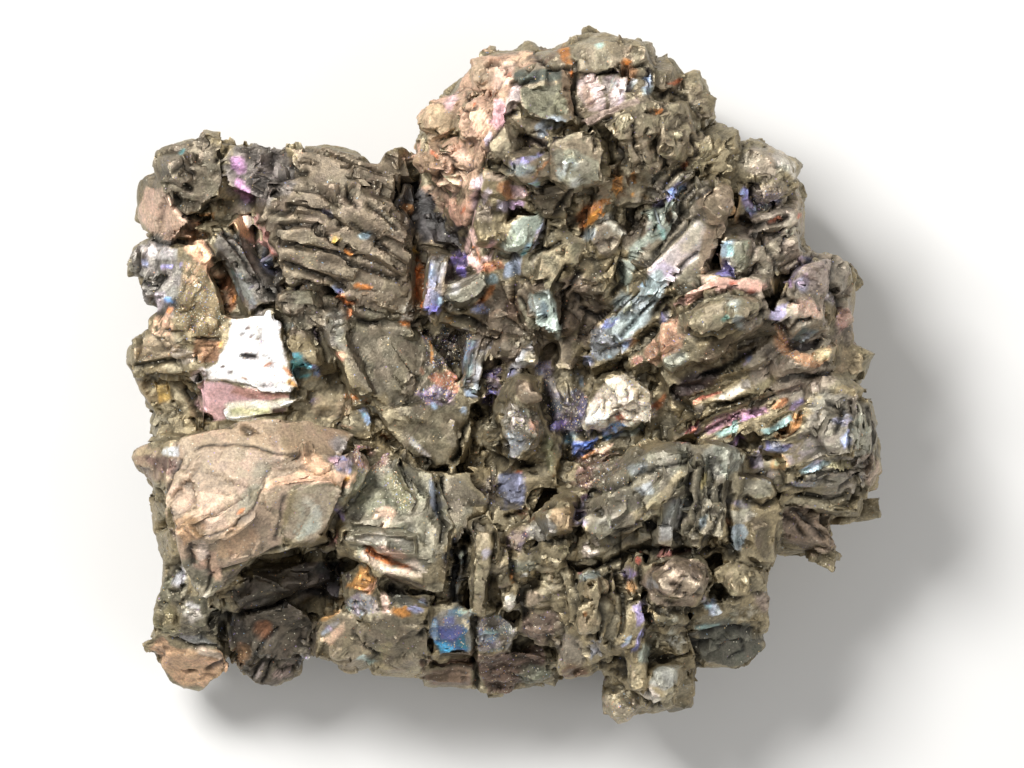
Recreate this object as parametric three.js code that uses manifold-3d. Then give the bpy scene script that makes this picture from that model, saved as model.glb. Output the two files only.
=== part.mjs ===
// A hand-sized cluster of intergrown chalcocite crystals, lying on its broken back with its
// crystals up. Everything grew together, so it is one closed solid of crystals fused in place.
// Millimetres, +Z up. The origin is under the middle of the cluster, on the flat it rests on.
import * as THREE from "three";
import { ConvexGeometry } from "three/addons/geometries/ConvexGeometry.js";
import { mergeVertices } from "three/addons/utils/BufferGeometryUtils.js";
import Module from "manifold-3d";

// Driving dimensions.
const CLUSTER_WIDTH = 122; // across the cluster, along X
const REST_CUT = 70; // half the side of the block that cuts the back flat
const RIDGE_CREST = 0.5; // a ridge's flat crest against its width
const RIDGE_FOOT = 1.5; // its foot against its width
const RIDGE_END = 0.12; // how far its ends slope back, against its length
const RIDGE_WOBBLE = 0.14; // how far a ridge's corners stray from a true prism
const KNOB_RINGS = [[0, 0.64, 4], [0.5, 1.12, 5]]; // drop, reach and corners
const MASS_RINGS = [[0, 0.74, 4], [0.45, 1.06, 5], [1, 0.96, 5]]; // the same for the ore behind
const KNOB_WOBBLE = 0.12; // how far a knob's corners stray from its rings
const BLOCK_FOOT = 0.86; // a block's foot against its top
const BLOCK_WOBBLE = 0.12; // how far the foot's corners stray from that
const PLAIN_CORNERS = 5; // a block with more corners than this has a simpler foot
const FOOT_STEP = 2.5; // how far up or down a foot lies from its given level
const WELD = 1e-4; // corners nearer than this are one corner
const ORE_GREY = 0x67614f; // dull olive-grey metal

const wasm = await Module();
wasm.setup();

// A small seeded generator, so that the cluster comes out the same each time.
let seed = 20246;
function random() {
  seed = (seed * 1664525 + 1013904223) % 4294967296;
  return seed / 4294967296;
}

function wobble(amount) {
  return 1 + amount * (2 * random() - 1);
}

// A three.js geometry as a solid that can be joined and cut.
function solidOf(geometry) {
  const bare = geometry.clone();
  bare.deleteAttribute("normal");
  bare.deleteAttribute("uv");
  const merged = mergeVertices(bare, WELD);
  const mesh = new wasm.Mesh({
    numProp: 3,
    vertProperties: merged.attributes.position.array,
    triVerts: new Uint32Array(merged.index.array),
  });
  return new wasm.Manifold(mesh);
}

function hull(points) {
  return solidOf(new ConvexGeometry(points));
}

// A long crystal with a flat crest from one end to the other, standing depth deep in the mass.
function ridge(from, to, width, depth) {
  const start = new THREE.Vector3(...from);
  const along = new THREE.Vector3(...to).sub(start);
  const side = new THREE.Vector3().crossVectors(along, new THREE.Vector3(0, 0, 1)).normalize();
  const middle = start.clone().addScaledVector(along, 0.5);
  const rings = [
    [1 - RIDGE_END, RIDGE_CREST, 0],
    [1 + RIDGE_END / 2, RIDGE_FOOT, depth],
  ];
  const points = [];
  for (const [length, breadth, drop] of rings) {
    for (const [end, hand] of [[-1, -1], [-1, 1], [1, -1], [1, 1]]) {
      const point = middle.clone();
      point.addScaledVector(along, 0.5 * end * length * wobble(RIDGE_WOBBLE / 2));
      point.addScaledVector(side, 0.5 * hand * breadth * width * wobble(RIDGE_WOBBLE));
      point.z -= drop;
      points.push(point);
    }
  }
  return hull(points);
}

// A blunt, many-faced lump. at is its crest, radii its half sizes in plan and its depth.
function knob(at, radii, turn = 0, rings = KNOB_RINGS) {
  const [x, y, crest] = at;
  const spin = 2 * Math.PI * random();
  const up = new THREE.Vector3(0, 0, 1);
  const points = [];
  for (const [drop, reach, corners] of rings) {
    for (let i = 0; i < corners; i += 1) {
      const angle = spin * (1 + drop) + (2 * Math.PI * i) / corners;
      const out = reach * wobble(KNOB_WOBBLE);
      const point = new THREE.Vector3(out * Math.cos(angle), out * Math.sin(angle), 0);
      point.multiply(new THREE.Vector3(radii[0], radii[1], 0));
      point.applyAxisAngle(up, THREE.MathUtils.degToRad(turn));
      const level = crest - drop * radii[2] * wobble(KNOB_WOBBLE);
      points.push(point.add(new THREE.Vector3(x, y, level)));
    }
  }
  return hull(points);
}

// A block with flat top faces through the given corners, tapering to a broken foot at about the
// given level. A many-cornered block has a foot under every other corner.
function block(corners, foot) {
  const tops = corners.map((corner) => new THREE.Vector3(...corner));
  const middle = new THREE.Vector3();
  tops.forEach((top) => middle.addScaledVector(top, 1 / tops.length));
  const level = foot + FOOT_STEP * (2 * random() - 1);
  const stood = tops.length > PLAIN_CORNERS ? tops.filter((top, i) => i % 2 === 0) : tops;
  const feet = stood.map((top) => {
    const reach = BLOCK_FOOT * wobble(BLOCK_WOBBLE);
    const point = top.clone().sub(middle).multiplyScalar(reach).add(middle);
    point.z = level;
    return point;
  });
  return hull([...tops, ...feet]);
}

// The broken mass of ore behind the crystals, in lumps that stand on the rest plane.
function back() {
  return [
    knob([-30, 2, 25], [27, 33, 27], 8, MASS_RINGS),
    knob([26, -4, 28], [30, 34, 30], 0, MASS_RINGS),
    knob([4, -22, 22], [33, 23, 25], 0, MASS_RINGS),
    knob([11, 29, 38], [24, 23, 36], 0, MASS_RINGS),
    knob([-38, -29, 22], [17, 14, 17], 0, MASS_RINGS),
  ];
}

// Upper left: a thick fan of long ribs, shingled downhill, with a blunt toe.
function ribbedFan() {
  return [
    block([[-38.5, 30, 30], [-34, 36, 29], [-28.5, 37.8, 29], [-19, 34, 31.5], [-15, 26, 32],
      [-14.3, 12, 30], [-22, 9.5, 29], [-35, 15, 29.5], [-39.8, 26, 30.5]], 8),
    ridge([-34.6, 34, 32], [-18, 31, 32.8], 5, 7),
    ridge([-38.4, 30.6, 33], [-16, 26.8, 34], 4.6, 7),
    ridge([-40, 27.6, 33.4], [-14.8, 23, 34.4], 4.2, 7),
    ridge([-39.4, 24.6, 33.6], [-14.3, 19, 34], 4, 7),
    ridge([-38, 21.6, 33.4], [-14.2, 15.4, 33], 4, 7),
    ridge([-36.6, 18.4, 32.6], [-17, 12.4, 31.8], 4, 7),
    ridge([-27, 11.6, 31], [-14.4, 9.6, 30], 4.4, 8),
    knob([-17, 34.3, 31.5], [3.6, 2.8, 12]),
    knob([-11.5, 25.5, 24], [4.4, 7.4, 14], 15),
  ];
}

// Far left: a column of lumps and dark bars above the flat cleavage faces.
function leftColumn() {
  return [
    block([[-57, 36.4, 26], [-53.5, 38.6, 28.5], [-48.6, 39.4, 30], [-45.6, 36, 31.5],
      [-45.8, 29, 31], [-50.5, 26.8, 30.5], [-55.4, 29.8, 29]], 9),
    knob([-52.8, 34.4, 32.5], [3.6, 3.2, 8]),
    knob([-47.8, 38.2, 31.5], [2.8, 1.9, 9]),
    block([[-45.5, 37.8, 28], [-41, 37.9, 28.5], [-37, 34.8, 29], [-35.2, 31.2, 30],
      [-39, 28.4, 30.5], [-44.8, 31.6, 31]], 10),
    block([[-60.4, 28.5, 20], [-59.4, 31, 20.5], [-56.7, 34, 24], [-53.3, 29.3, 28.5],
      [-50.2, 25.4, 28.5], [-53.5, 22.4, 26.5], [-58.8, 23.4, 20.5]], 7),
    ridge([-46.2, 26, 30], [-39.4, 10.6, 28.5], 7, 12),
    block([[-60, 21.5, 20], [-57, 22.6, 23], [-53, 21.5, 26], [-52, 15, 27], [-57.6, 13.6, 22]], 9),
    block([[-53.4, 22, 27], [-49.6, 22, 28.5], [-45.8, 10.6, 28.5], [-47, 4, 28.5],
      [-52, 5.4, 28], [-57, 9.4, 24.5], [-54.6, 14, 26]], 11),
    block([[-60.8, 4.6, 21], [-57.6, 8.4, 23.5], [-52.5, 8.6, 27.5], [-47.4, 4.4, 29.5],
      [-47.8, 0.4, 28], [-53, -0.8, 25], [-60, 0, 21]], 10),
    ridge([-58.4, 1.6, 21.5], [-55, -4.8, 18], 3.6, 7),
    block([[-45.4, 10.4, 28.8], [-37.5, 10.3, 29.2], [-36.2, 6, 29.3], [-35, 1, 29.3],
      [-33.4, -1.6, 29], [-48.3, -1.2, 28], [-46.2, 3, 28.5]], 12),
    block([[-50.6, -1.8, 24], [-48.2, -1.1, 27.4], [-33.4, -1.7, 28.4], [-33, -3.2, 27.4],
      [-45, -5.8, 25], [-47, -6.8, 23]], 12),
  ];
}

// Small lumps between the fan and the long slab, beside a deep black gap.
function lumpsByTheGap() {
  return [
    knob([-33.4, 12.2, 33], [4.2, 3.6, 9]),
    ridge([-33, 11.6, 31.5], [-25.6, 8.2, 31], 5.4, 9),
    knob([-33.2, 5.4, 31.5], [3.2, 4.4, 10]),
    knob([-29.6, 4, 30], [2.6, 4.2, 10]),
  ];
}

// Middle: a long dark slab running down to the right, and a broken block at its foot.
function longSlab() {
  return [
    block([[-28.8, 10, 33], [-20, 8.8, 30.5], [-14.5, 8.8, 28], [-9, 3, 26], [-6, -3.6, 27],
      [-13, -5.5, 29], [-20.5, -6, 31], [-25, -0.8, 32]], 12),
    ridge([-28, 9.6, 34.2], [-22.4, -3.6, 33], 4.6, 8),
    block([[-21.5, -5, 31.8], [-12.5, -3.4, 30.4], [-5, -4.2, 28.4], [-4.4, -8.5, 28],
      [-7.2, -14.2, 29], [-13, -14.8, 30], [-17, -10.6, 31]], 12),
    block([[-10.2, -15.2, 33], [-5, -15, 32.4], [-1.4, -20, 32.4], [-5, -22.6, 34.4],
      [-9.6, -26.6, 36]], 14),
    ridge([-6, 8.6, 28.6], [-2.6, -4.4, 27], 4.6, 9),
  ];
}

// Lower left: the big pale slab, a fin at its tip and a wedge at its inner end.
function paleSlab() {
  return [
    block([[-52.8, -9, 38.5], [-46, -7.8, 39.5], [-38, -6.6, 39], [-30, -7.2, 38], [-24.5, -9, 36.5],
      [-29, -15.5, 42.5], [-38, -19.6, 45.5], [-46.6, -26, 44.5], [-52.6, -25.6, 41.5],
      [-55.3, -17.5, 38.5]], 20),
    block([[-47, -25.2, 44], [-38.4, -19.4, 45.6], [-30, -15.6, 43.4], [-23.4, -11, 39],
      [-22, -15, 38.4], [-27, -20.4, 40.4], [-30, -25.4, 39], [-38.5, -28.4, 39]], 18),
    block([[-52.6, -24.8, 42.4], [-45.6, -24.4, 44.2], [-38.6, -28, 39.6], [-45.8, -34.8, 35.5],
      [-49.8, -34, 36], [-51.6, -29.6, 39.5]], 18),
    block([[-36.4, -17.6, 45.2], [-29, -16.4, 44.4], [-26.6, -19.8, 42], [-29.4, -25, 40],
      [-35.8, -26.6, 41]], 20),
    block([[-60.8, -12.8, 29], [-57, -10.2, 33], [-52.2, -8.6, 38.4], [-52.6, -12.4, 38],
      [-55.2, -18.6, 35.5], [-58.4, -16.4, 29]], 20),
    ridge([-55.4, -18, 32.5], [-52.4, -30, 30], 4.2, 9),
  ];
}

// Beside the slab: a square block with a ledge across its face.
function ledgedBlock() {
  return [
    block([[-24.8, -16, 34.8], [-19, -12, 33.8], [-14.4, -15.2, 34.4], [-10.4, -16, 35],
      [-9.4, -27, 38.4], [-10.6, -33.8, 35], [-23, -29.8, 36], [-28.8, -25.8, 36],
      [-25.6, -18, 35]], 15),
    ridge([-27.4, -25, 38.8], [-13.6, -26.4, 40.4], 4.4, 7),
    ridge([-19.2, -12.8, 35.4], [-12.6, -20.8, 38.4], 3.8, 7),
  ];
}

// Bottom left: dark lumps that hang low under the pale slab.
function lowLeft() {
  return [
    block([[-55, -30, 25], [-50.4, -29.4, 28], [-48, -33.5, 29], [-45.6, -38.5, 27],
      [-46.6, -43, 23.5], [-56.6, -42.4, 20], [-56.8, -38, 22]], 9),
    block([[-58, -43.2, 16.5], [-55.8, -41.4, 21.5], [-47, -42.4, 23.5], [-45.2, -46, 19],
      [-50, -50.6, 13], [-53.6, -50, 13]], 7),
    block([[-46.6, -37.6, 23], [-41.6, -37.8, 25], [-41.2, -45, 21.4], [-44, -46.8, 18.5]], 9),
    block([[-42.4, -37.6, 26], [-36, -35.6, 27.4], [-31.6, -38.4, 26], [-31.2, -42.4, 22.5],
      [-34.6, -48.8, 16.5], [-39.4, -49.8, 14.5], [-43.6, -47, 17]], 8),
    ridge([-46.6, -35.2, 28.5], [-28, -29.8, 26], 6.4, 9),
    knob([-29.5, -31, 24], [7, 4.8, 14]),
  ];
}

// Bottom: a row of square-broken crystals and the small lumps above them.
function bottomRow() {
  return [
    knob([-22.8, -32.2, 33.6], [4, 3, 9]),
    knob([-21, -35.6, 31.8], [5.4, 2.6, 9]),
    block([[-31.4, -40.5, 26], [-29.6, -37.2, 29], [-25.6, -36.4, 30.5], [-23, -39, 30.5],
      [-22.4, -44.6, 26], [-26, -47.6, 21], [-29.4, -45.6, 22]], 9),
    block([[-24, -39.5, 30.5], [-20.5, -36.6, 33], [-15, -37, 33], [-12.4, -39.4, 31.5],
      [-12.6, -45, 28], [-15, -48.4, 22], [-20.8, -47.8, 22]], 9),
    block([[-12.2, -36, 31], [-8, -34.6, 31.6], [-5.3, -37.2, 31.6], [-5.3, -43.4, 28.4],
      [-11.6, -44.2, 27.4]], 9),
    block([[-5.2, -37.2, 30.6], [-0.6, -38, 30.6], [2.2, -41.8, 29], [-0.4, -44.8, 26],
      [-5, -44, 27.4]], 9),
    block([[-14.6, -45.4, 22.6], [-5.4, -44.8, 24], [-5.2, -49.8, 18], [-13, -50, 16.5]], 7),
    block([[-4.9, -45, 24.6], [2, -43.4, 26.6], [9.4, -45.2, 24.6], [8.4, -48.8, 17.5],
      [-4.4, -50.2, 17]], 7),
    block([[3, -33, 34.6], [9, -30.2, 36], [9.2, -37, 34.6], [7, -42.4, 30], [1.4, -40.4, 30]], 12),
    block([[-5.9, -22.4, 39.5], [-3, -21, 41.4], [-1.4, -24, 41.4], [-2, -31, 39.4],
      [-3, -38, 35], [-6, -37, 35.5]], 16),
    block([[-2, -24.6, 38.4], [0.8, -25.8, 39], [3.4, -36.6, 35.4], [0.2, -37.2, 35.4]], 16),
    ridge([-8.2, -25.6, 29.5], [-7.4, -36, 28.5], 4.4, 9),
    knob([3.2, -28.8, 37], [3.2, 3.8, 12]),
  ];
}

// Standing in the low middle: a blunt upright crystal with a cap, and what lies round it.
function middleCrystal() {
  return [
    knob([2.6, -3, 37], [3.4, 3.4, 14]),
    knob([1.8, -9.2, 36.5], [5, 7.6, 18], -6),
    ridge([6.8, -6, 31], [7.2, -18.8, 32], 4, 12),
    knob([1, -17.8, 28.5], [5.6, 3.4, 12]),
    ridge([9, -12.6, 25], [20, -9.4, 28], 4.4, 9),
    ridge([9.4, -17.2, 26.5], [20, -13, 31], 4.8, 9),
    block([[11, -8.2, 29.4], [14.6, -0.4, 33], [19, 1.1, 35], [23.6, -2.2, 35],
      [23.2, -6.6, 33.4], [14.4, -10.2, 29]], 14),
    knob([8.8, -2.6, 27], [3.4, 5.4, 12]),
  ];
}

// Lower right: a hunched mass whose columns hang like folds, with lumps below.
function foldedMass() {
  return [
    block([[10, -24, 37.5], [13, -19, 39], [22, -11.6, 41.5], [28, -9, 42], [37.4, -12.6, 39.5],
      [37.4, -24, 37], [34, -28.8, 35.5], [11.6, -28.8, 36]], 14),
    ridge([12.6, -25.6, 41.5], [29, -14, 45], 7.4, 9),
    ridge([14.6, -20, 42], [26, -11.6, 44], 5.4, 9),
    ridge([26.2, -14.6, 44.4], [25.4, -28, 40], 5, 9),
    ridge([30.4, -12.6, 44.4], [30.2, -28, 40], 4, 9),
    ridge([34.4, -13.4, 42.4], [34.8, -28.4, 38], 4.6, 9),
    block([[36.8, -14.8, 39.5], [42, -15.6, 38], [44.2, -20, 35], [43, -29.8, 30.5],
      [36, -29, 35.4]], 14),
    knob([8, -22.2, 42], [3.8, 3.8, 14]),
    knob([8, -27.6, 40], [4.2, 3.2, 14]),
    ridge([42.4, -23, 26.5], [52.8, -24.6, 23.5], 7, 9),
    block([[20.4, -31.8, 40], [24, -28.4, 41.5], [31, -28.4, 41], [33.8, -32, 38.5],
      [31, -36.6, 36], [23.6, -37, 37]], 14),
    knob([27, -32, 43.4], [4.6, 3, 7], 10),
  ];
}

// Bottom right: blocks and lumps stepping down to the lowest tip.
function lowRight() {
  return [
    block([[9, -30.2, 37], [16, -29.8, 38.4], [18.6, -35, 38.4], [18, -42, 34.6],
      [13.5, -47.2, 29], [8.4, -47.2, 28], [8.4, -37, 36]], 10),
    knob([12.8, -36, 41.4], [4, 5.6, 9]),
    block([[33.2, -31, 35.4], [36, -29.6, 36.6], [41.2, -30.6, 34], [41.4, -34.4, 32],
      [36, -35.6, 33.4]], 12),
    block([[30.4, -35.8, 34], [35, -34.4, 34.2], [41.4, -34.4, 31.4], [42.4, -36.2, 29],
      [41.4, -40, 27], [30.4, -39.4, 32]], 12),
    block([[29.8, -41, 30], [34, -38.4, 31], [40.4, -40, 27.4], [39.5, -43.4, 24],
      [36.6, -46.4, 21], [31, -46.8, 22.5]], 9),
    block([[15.2, -41, 32.5], [19, -36.4, 35.4], [29.6, -37, 34.4], [30.4, -46.6, 27],
      [15.4, -47.4, 27]], 10),
    knob([26.4, -38.6, 37.4], [3.2, 3, 9]),
    ridge([19.6, -35.4, 38], [20.8, -47.6, 32], 4.4, 9),
    block([[15.2, -47, 25], [20, -46, 28.4], [29.8, -46.8, 27], [29.8, -53.6, 17.5],
      [22, -54.8, 16], [17, -55.8, 15]], 7),
    knob([24.4, -48.6, 31], [4.2, 3.8, 9]),
    knob([18, -51.6, 25.6], [3.2, 3.6, 8]),
  ];
}

// Right: long crystals that fan out from the middle, between two heavy lumps and the rim.
function rightFan() {
  return [
    block([[22, -8.6, 29], [24, -1, 32], [41, 6.4, 35], [52, 1, 34], [50, -9, 33],
      [40, -11.8, 30], [27, -12, 28]], 12),
    ridge([24, -8.8, 31], [38, -2.8, 35.6], 4, 8),
    ridge([29.6, -11, 30.6], [48, -5, 36.4], 5.4, 8),
    ridge([28, -5, 34], [53, 2, 36], 5, 8),
    ridge([25, -0.6, 34], [46, 6, 38], 6, 9),
    ridge([23, 2, 35], [42.6, 9.8, 39], 5, 9),
    block([[25, 5.4, 40], [27.4, 12, 43.4], [33, 15.6, 45], [40.6, 13.8, 44.6], [42.6, 9.6, 42.4],
      [38, 6.4, 43], [33, 3, 41.5], [27.4, 2.4, 39]], 8),
    knob([34, 10, 48.4], [6.4, 3.8, 10], 12),
    ridge([26, 11.4, 43.6], [33.4, 16.8, 45.4], 3.6, 9),
    ridge([32, 16.8, 45.4], [43.2, 14.6, 43], 3.4, 9),
    ridge([19.6, 1.8, 34.5], [28, 8, 40], 5, 9),
    block([[43.2, -11.6, 35.6], [46.4, -4.4, 38.4], [54.6, -3.4, 36.4], [59.2, -8, 31.5],
      [60.8, -14.6, 28], [57.8, -18.6, 27], [46.6, -16, 33.4]], 15),
    ridge([56.6, -3.6, 33.4], [58.4, -13.6, 31.4], 3.6, 7),
    knob([52.6, -8.4, 40.4], [4.2, 4, 9], 30),
    ridge([43.6, -15.4, 34.4], [58, -15.6, 32], 4, 8),
    ridge([43.6, -19, 29.5], [57.8, -19.4, 26.5], 4.4, 9),
    block([[48.6, 5.8, 34], [55, 5.4, 30.5], [58.2, 3.2, 27.5], [56.2, -0.8, 29], [49.4, -1, 35]], 13),
    knob([52.6, -1.8, 37.4], [5, 3.2, 9]),
    knob([47.4, 3, 40], [5.2, 2.8, 9], 12),
  ];
}

// The right rim above the fan: round lumps with thin plates between them.
function rightRim() {
  return [
    block([[41.6, 8.4, 41], [44.4, 14.2, 42], [48.5, 21, 36], [52.4, 18.6, 32.5],
      [54.9, 14, 29.5], [55, 5.6, 30], [46, 4.6, 37.5]], 10),
    knob([49.4, 15.4, 39.4], [4.2, 4.2, 10]),
    knob([47.2, 9.8, 42], [4.8, 3, 9]),
    block([[51.4, 17.8, 31.5], [55.4, 18.4, 27.5], [55.4, 12.8, 27], [52, 11.8, 31]], 12),
  ];
}

// Upper right: a round knot of crystals and the bright sheaves of plates beside it.
function upperRight() {
  return [
    block([[35.2, 22, 39.5], [37.2, 35, 37], [40, 37, 34.5], [43.6, 35.2, 34], [47, 31, 33.5],
      [48.4, 24, 34], [46.6, 17.4, 37], [36.6, 16.2, 39]], 13),
    ridge([38.4, 35, 40], [46, 30, 39.4], 5.4, 8),
    block([[39.6, 32.6, 42], [43, 32.4, 41.5], [46, 29.6, 40.5], [43, 27.6, 41], [40.4, 29.4, 42]], 26),
    ridge([38, 24.8, 42], [48, 25.6, 39], 4.4, 8),
    knob([37, 20.6, 44], [3.2, 4.4, 9]),
    ridge([39, 19, 42.4], [47, 22, 40], 5.4, 8),
    block([[20.6, 27.6, 40], [31.6, 35.6, 43], [37.6, 36.8, 39], [38, 31, 38.5],
      [27, 25.6, 38.5]], 16),
    ridge([20.6, 29.2, 42.4], [33.4, 37.6, 44.4], 3.4, 7),
    ridge([22.6, 27, 41], [36.4, 34.4, 42.4], 3.4, 7),
    knob([34, 37.6, 42], [4, 2.8, 10], -35),
    block([[17.6, 12, 35.5], [20.6, 25.4, 41], [31, 31.6, 43], [35, 27, 42], [32, 17.2, 40.5],
      [24, 8.4, 36]], 8),
    block([[22.6, 15, 39], [28.6, 25, 43.6], [32, 31.8, 46], [35, 27.6, 45],
      [32, 18.2, 42.5], [26, 12.6, 39]], 18),
    knob([32.4, 28.4, 48], [3.2, 4, 9]),
    ridge([26.4, 27.4, 44], [21.2, 16, 40], 4.4, 8),
    ridge([17.6, 4.8, 33.5], [28, 15.2, 40], 5, 9),
    ridge([13.4, 5, 32.5], [22, 14.4, 38], 5, 9),
    ridge([12.4, 1.2, 30], [22.4, 6.4, 35], 4.4, 9),
  ];
}

// Top: the tallest lobe, a dome of blocky knobs with a coarse pale flank on its left.
function topLobe() {
  return [
    block([[-3.4, 36, 46], [2.4, 50.4, 41.5], [12, 53.6, 42], [22.6, 50.6, 41], [30.4, 43.6, 40],
      [30, 32.4, 44], [20, 27, 44], [3, 26, 43.5], [-3.6, 28, 43]], 16),
    block([[-14.7, 37.8, 27], [-13.6, 41.4, 28.5], [-7, 48.8, 33], [-3.4, 52, 35.5],
      [5, 52.4, 38.5], [2.4, 45.8, 46], [-1.4, 40.5, 48], [-4.4, 33.8, 46], [-6.4, 25, 36],
      [-13.2, 31.6, 26]], 11),
    knob([-2.6, 48.4, 42], [4.2, 3.6, 9]),
    knob([-9.8, 41.6, 39], [4.2, 4.4, 10]),
    knob([-4.6, 41.4, 46], [3.6, 4.6, 9]),
    knob([-9.6, 35, 40.6], [4.2, 3.2, 10]),
    ridge([-3.8, 36.2, 48.6], [-6.2, 24.6, 40.5], 3.4, 8),
    ridge([-6.4, 26.6, 38.5], [-3.4, 17.6, 34], 3.4, 8),
    block([[10.2, 53.6, 42], [14, 55.6, 41], [18.2, 54.6, 43], [18.2, 49.5, 47], [12, 48.2, 48],
      [10, 50.4, 46.5]], 24),
    knob([20.4, 51.2, 45], [3.6, 3.6, 12]),
    knob([24.8, 47.8, 43], [3.6, 3.4, 12]),
    block([[27.4, 47.4, 38.4], [31, 49.2, 37], [32.6, 45, 38], [31.8, 41, 40.4], [27.8, 42, 42.4]], 22),
    block([[2, 47.6, 46], [5, 51, 43.6], [9.6, 53.2, 42], [10, 50, 46], [10.8, 43, 49.6],
      [9, 40.8, 50.6], [4, 41.8, 50.6], [2, 44, 49]], 26),
    block([[10.6, 48.6, 45.4], [23, 48.8, 43.6], [21.4, 43.2, 47.4], [11.4, 41.8, 48.4]], 26),
    ridge([18.4, 49, 46.6], [17.2, 42.6, 48.8], 3, 7),
    ridge([10.6, 40.8, 51], [23, 44.8, 49.8], 3, 7),
    block([[15, 40.2, 52], [20, 43.6, 51], [23.6, 43.6, 49.4], [23.4, 38.4, 51.6],
      [18, 37.2, 53]], 28),
    block([[23.6, 43.6, 47.6], [28, 43.8, 44], [29.8, 40, 43.4], [28.6, 37.2, 45.6],
      [23.8, 37.8, 49.8]], 26),
    block([[19.2, 37.8, 51.4], [25, 37.6, 49.2], [27.4, 35, 47], [22, 30.8, 46], [18.6, 31.4, 48]], 26),
    block([[27, 37.6, 46], [31.8, 39.6, 42], [32.4, 36, 42.4], [27.2, 32.2, 44]], 26),
    knob([-0.4, 37.6, 51], [3.6, 4.4, 10]),
    block([[6.4, 38.6, 54.6], [13, 39.6, 55.6], [15.6, 36, 55], [14.8, 30.8, 53],
      [9.5, 29.4, 51], [6.4, 31.4, 52.6]], 34),
    knob([3.2, 33.8, 52.6], [4.2, 3.8, 10]),
    block([[2.4, 28.4, 47.4], [6, 30.6, 50], [10.2, 29.6, 50], [9.2, 25.8, 45.4], [4.6, 24.8, 43.4]], 28),
    ridge([15, 31.4, 50], [14.6, 25, 44.2], 5, 8),
    knob([-2.4, 30.4, 48], [3.8, 4, 10]),
    knob([-3, 24.6, 43.6], [3.8, 4.2, 10]),
    block([[-2, 21.4, 41.6], [1.6, 25.4, 44], [5.4, 25, 43.6], [4.8, 21, 41.6], [1, 19.2, 40.6]], 24),
  ];
}

// Middle, under the top lobe: angular slabs, a pointed shard and the lumps left of it.
function middleSlabs() {
  return [
    block([[-13.6, 10, 29], [-12, 19, 31], [-4, 19.6, 34], [4, 25, 40], [18, 26.5, 42],
      [20.6, 17, 37], [14, 7.4, 32], [4, 3.6, 30], [-6, 8.4, 29]], 12),
    block([[2.6, 14.4, 36.6], [4.6, 19.6, 39], [7.8, 21.4, 41], [11.2, 17.2, 39.4],
      [9.8, 12.6, 36.6]], 18),
    block([[5.6, 22, 41], [8.6, 26, 44.4], [12, 18, 40.4], [11, 16.4, 39], [8, 21, 41]], 20),
    block([[12.2, 25, 44.4], [15, 26, 44.4], [18.8, 21.6, 42.4], [16, 19.4, 41], [12.4, 20, 41.6]], 20),
    block([[12.4, 20.4, 40.6], [20, 21.8, 41.6], [21.6, 17, 39], [16.6, 11.8, 36.4],
      [11.8, 15, 38]], 18),
    block([[2, 14.8, 36.4], [5.6, 14.4, 39], [7.8, 12.4, 40], [9.8, 6.2, 35.6], [8, 5.6, 33.6],
      [1.4, 11, 35]], 18),
    ridge([-12.6, 13.4, 35.4], [-2.2, 17.2, 37], 6, 9),
    ridge([-13, 10, 31.6], [-11, 20.8, 33.4], 4, 8),
    knob([-1.6, 8.8, 32], [4.4, 3, 10]),
    knob([1.6, 4.4, 32.6], [3.8, 3.8, 12]),
    knob([10.4, 6, 33], [3.2, 5, 12]),
  ];
}

// Ore that shows only as the dark floor of the deepest gaps, so that none is open right through.
function gapFloors() {
  return [
    knob([-44.6, 29.8, 26], [6, 7, 26], 20, MASS_RINGS),
    knob([-52, 24.4, 22], [5, 4.4, 22], 0, MASS_RINGS),
    knob([-16, 31.6, 20], [4, 4.4, 20], 0, MASS_RINGS),
    knob([30.4, 40.2, 28], [3.6, 3.4, 28], 0, MASS_RINGS),
    knob([-10, -38.6, 22], [14, 9.4, 22], 0, MASS_RINGS),
    knob([4.8, -42.4, 19.5], [6.4, 4.8, 19.5], 0, MASS_RINGS),
  ];
}

// Joins every crystal and cuts the back flat at the height it rests on. Only the outside is kept,
// so that no pocket stays sealed in the ore. Then it sets the size and the origin.
function cluster() {
  const grown = [
    ...back(),
    ...ribbedFan(),
    ...leftColumn(),
    ...lumpsByTheGap(),
    ...longSlab(),
    ...paleSlab(),
    ...ledgedBlock(),
    ...lowLeft(),
    ...bottomRow(),
    ...middleCrystal(),
    ...foldedMass(),
    ...lowRight(),
    ...rightFan(),
    ...rightRim(),
    ...upperRight(),
    ...topLobe(),
    ...middleSlabs(),
    ...gapFloors(),
  ];
  const below = new THREE.BoxGeometry(2 * REST_CUT, 2 * REST_CUT, REST_CUT);
  below.translate(0, 0, -REST_CUT / 2);
  const joined = grown.reduce((mass, one) => mass.add(one)).subtract(solidOf(below));
  const [outside] = joined.decompose().sort((one, other) => other.volume() - one.volume());
  const made = outside.getMesh();
  const geometry = new THREE.BufferGeometry();
  geometry.setAttribute("position", new THREE.BufferAttribute(made.vertProperties, 3));
  geometry.setIndex(new THREE.BufferAttribute(made.triVerts, 1));
  geometry.computeBoundingBox();
  const { min, max } = geometry.boundingBox;
  geometry.translate(-(min.x + max.x) / 2, -(min.y + max.y) / 2, 0);
  const fit = CLUSTER_WIDTH / (max.x - min.x);
  geometry.scale(fit, fit, fit);
  geometry.computeVertexNormals();
  return geometry;
}

const metal = new THREE.MeshStandardMaterial({
  color: ORE_GREY,
  roughness: 0.45,
  metalness: 0.8,
  flatShading: true,
});
const chalcocite = new THREE.Mesh(cluster(), metal);
chalcocite.name = "chalcocite";

const part = new THREE.Group();
part.add(chalcocite);

export default part;
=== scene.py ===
import itertools
import math

import bmesh
import bpy
import numpy as np
from mathutils import Matrix, Vector
from mathutils.bvhtree import BVHTree


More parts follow.
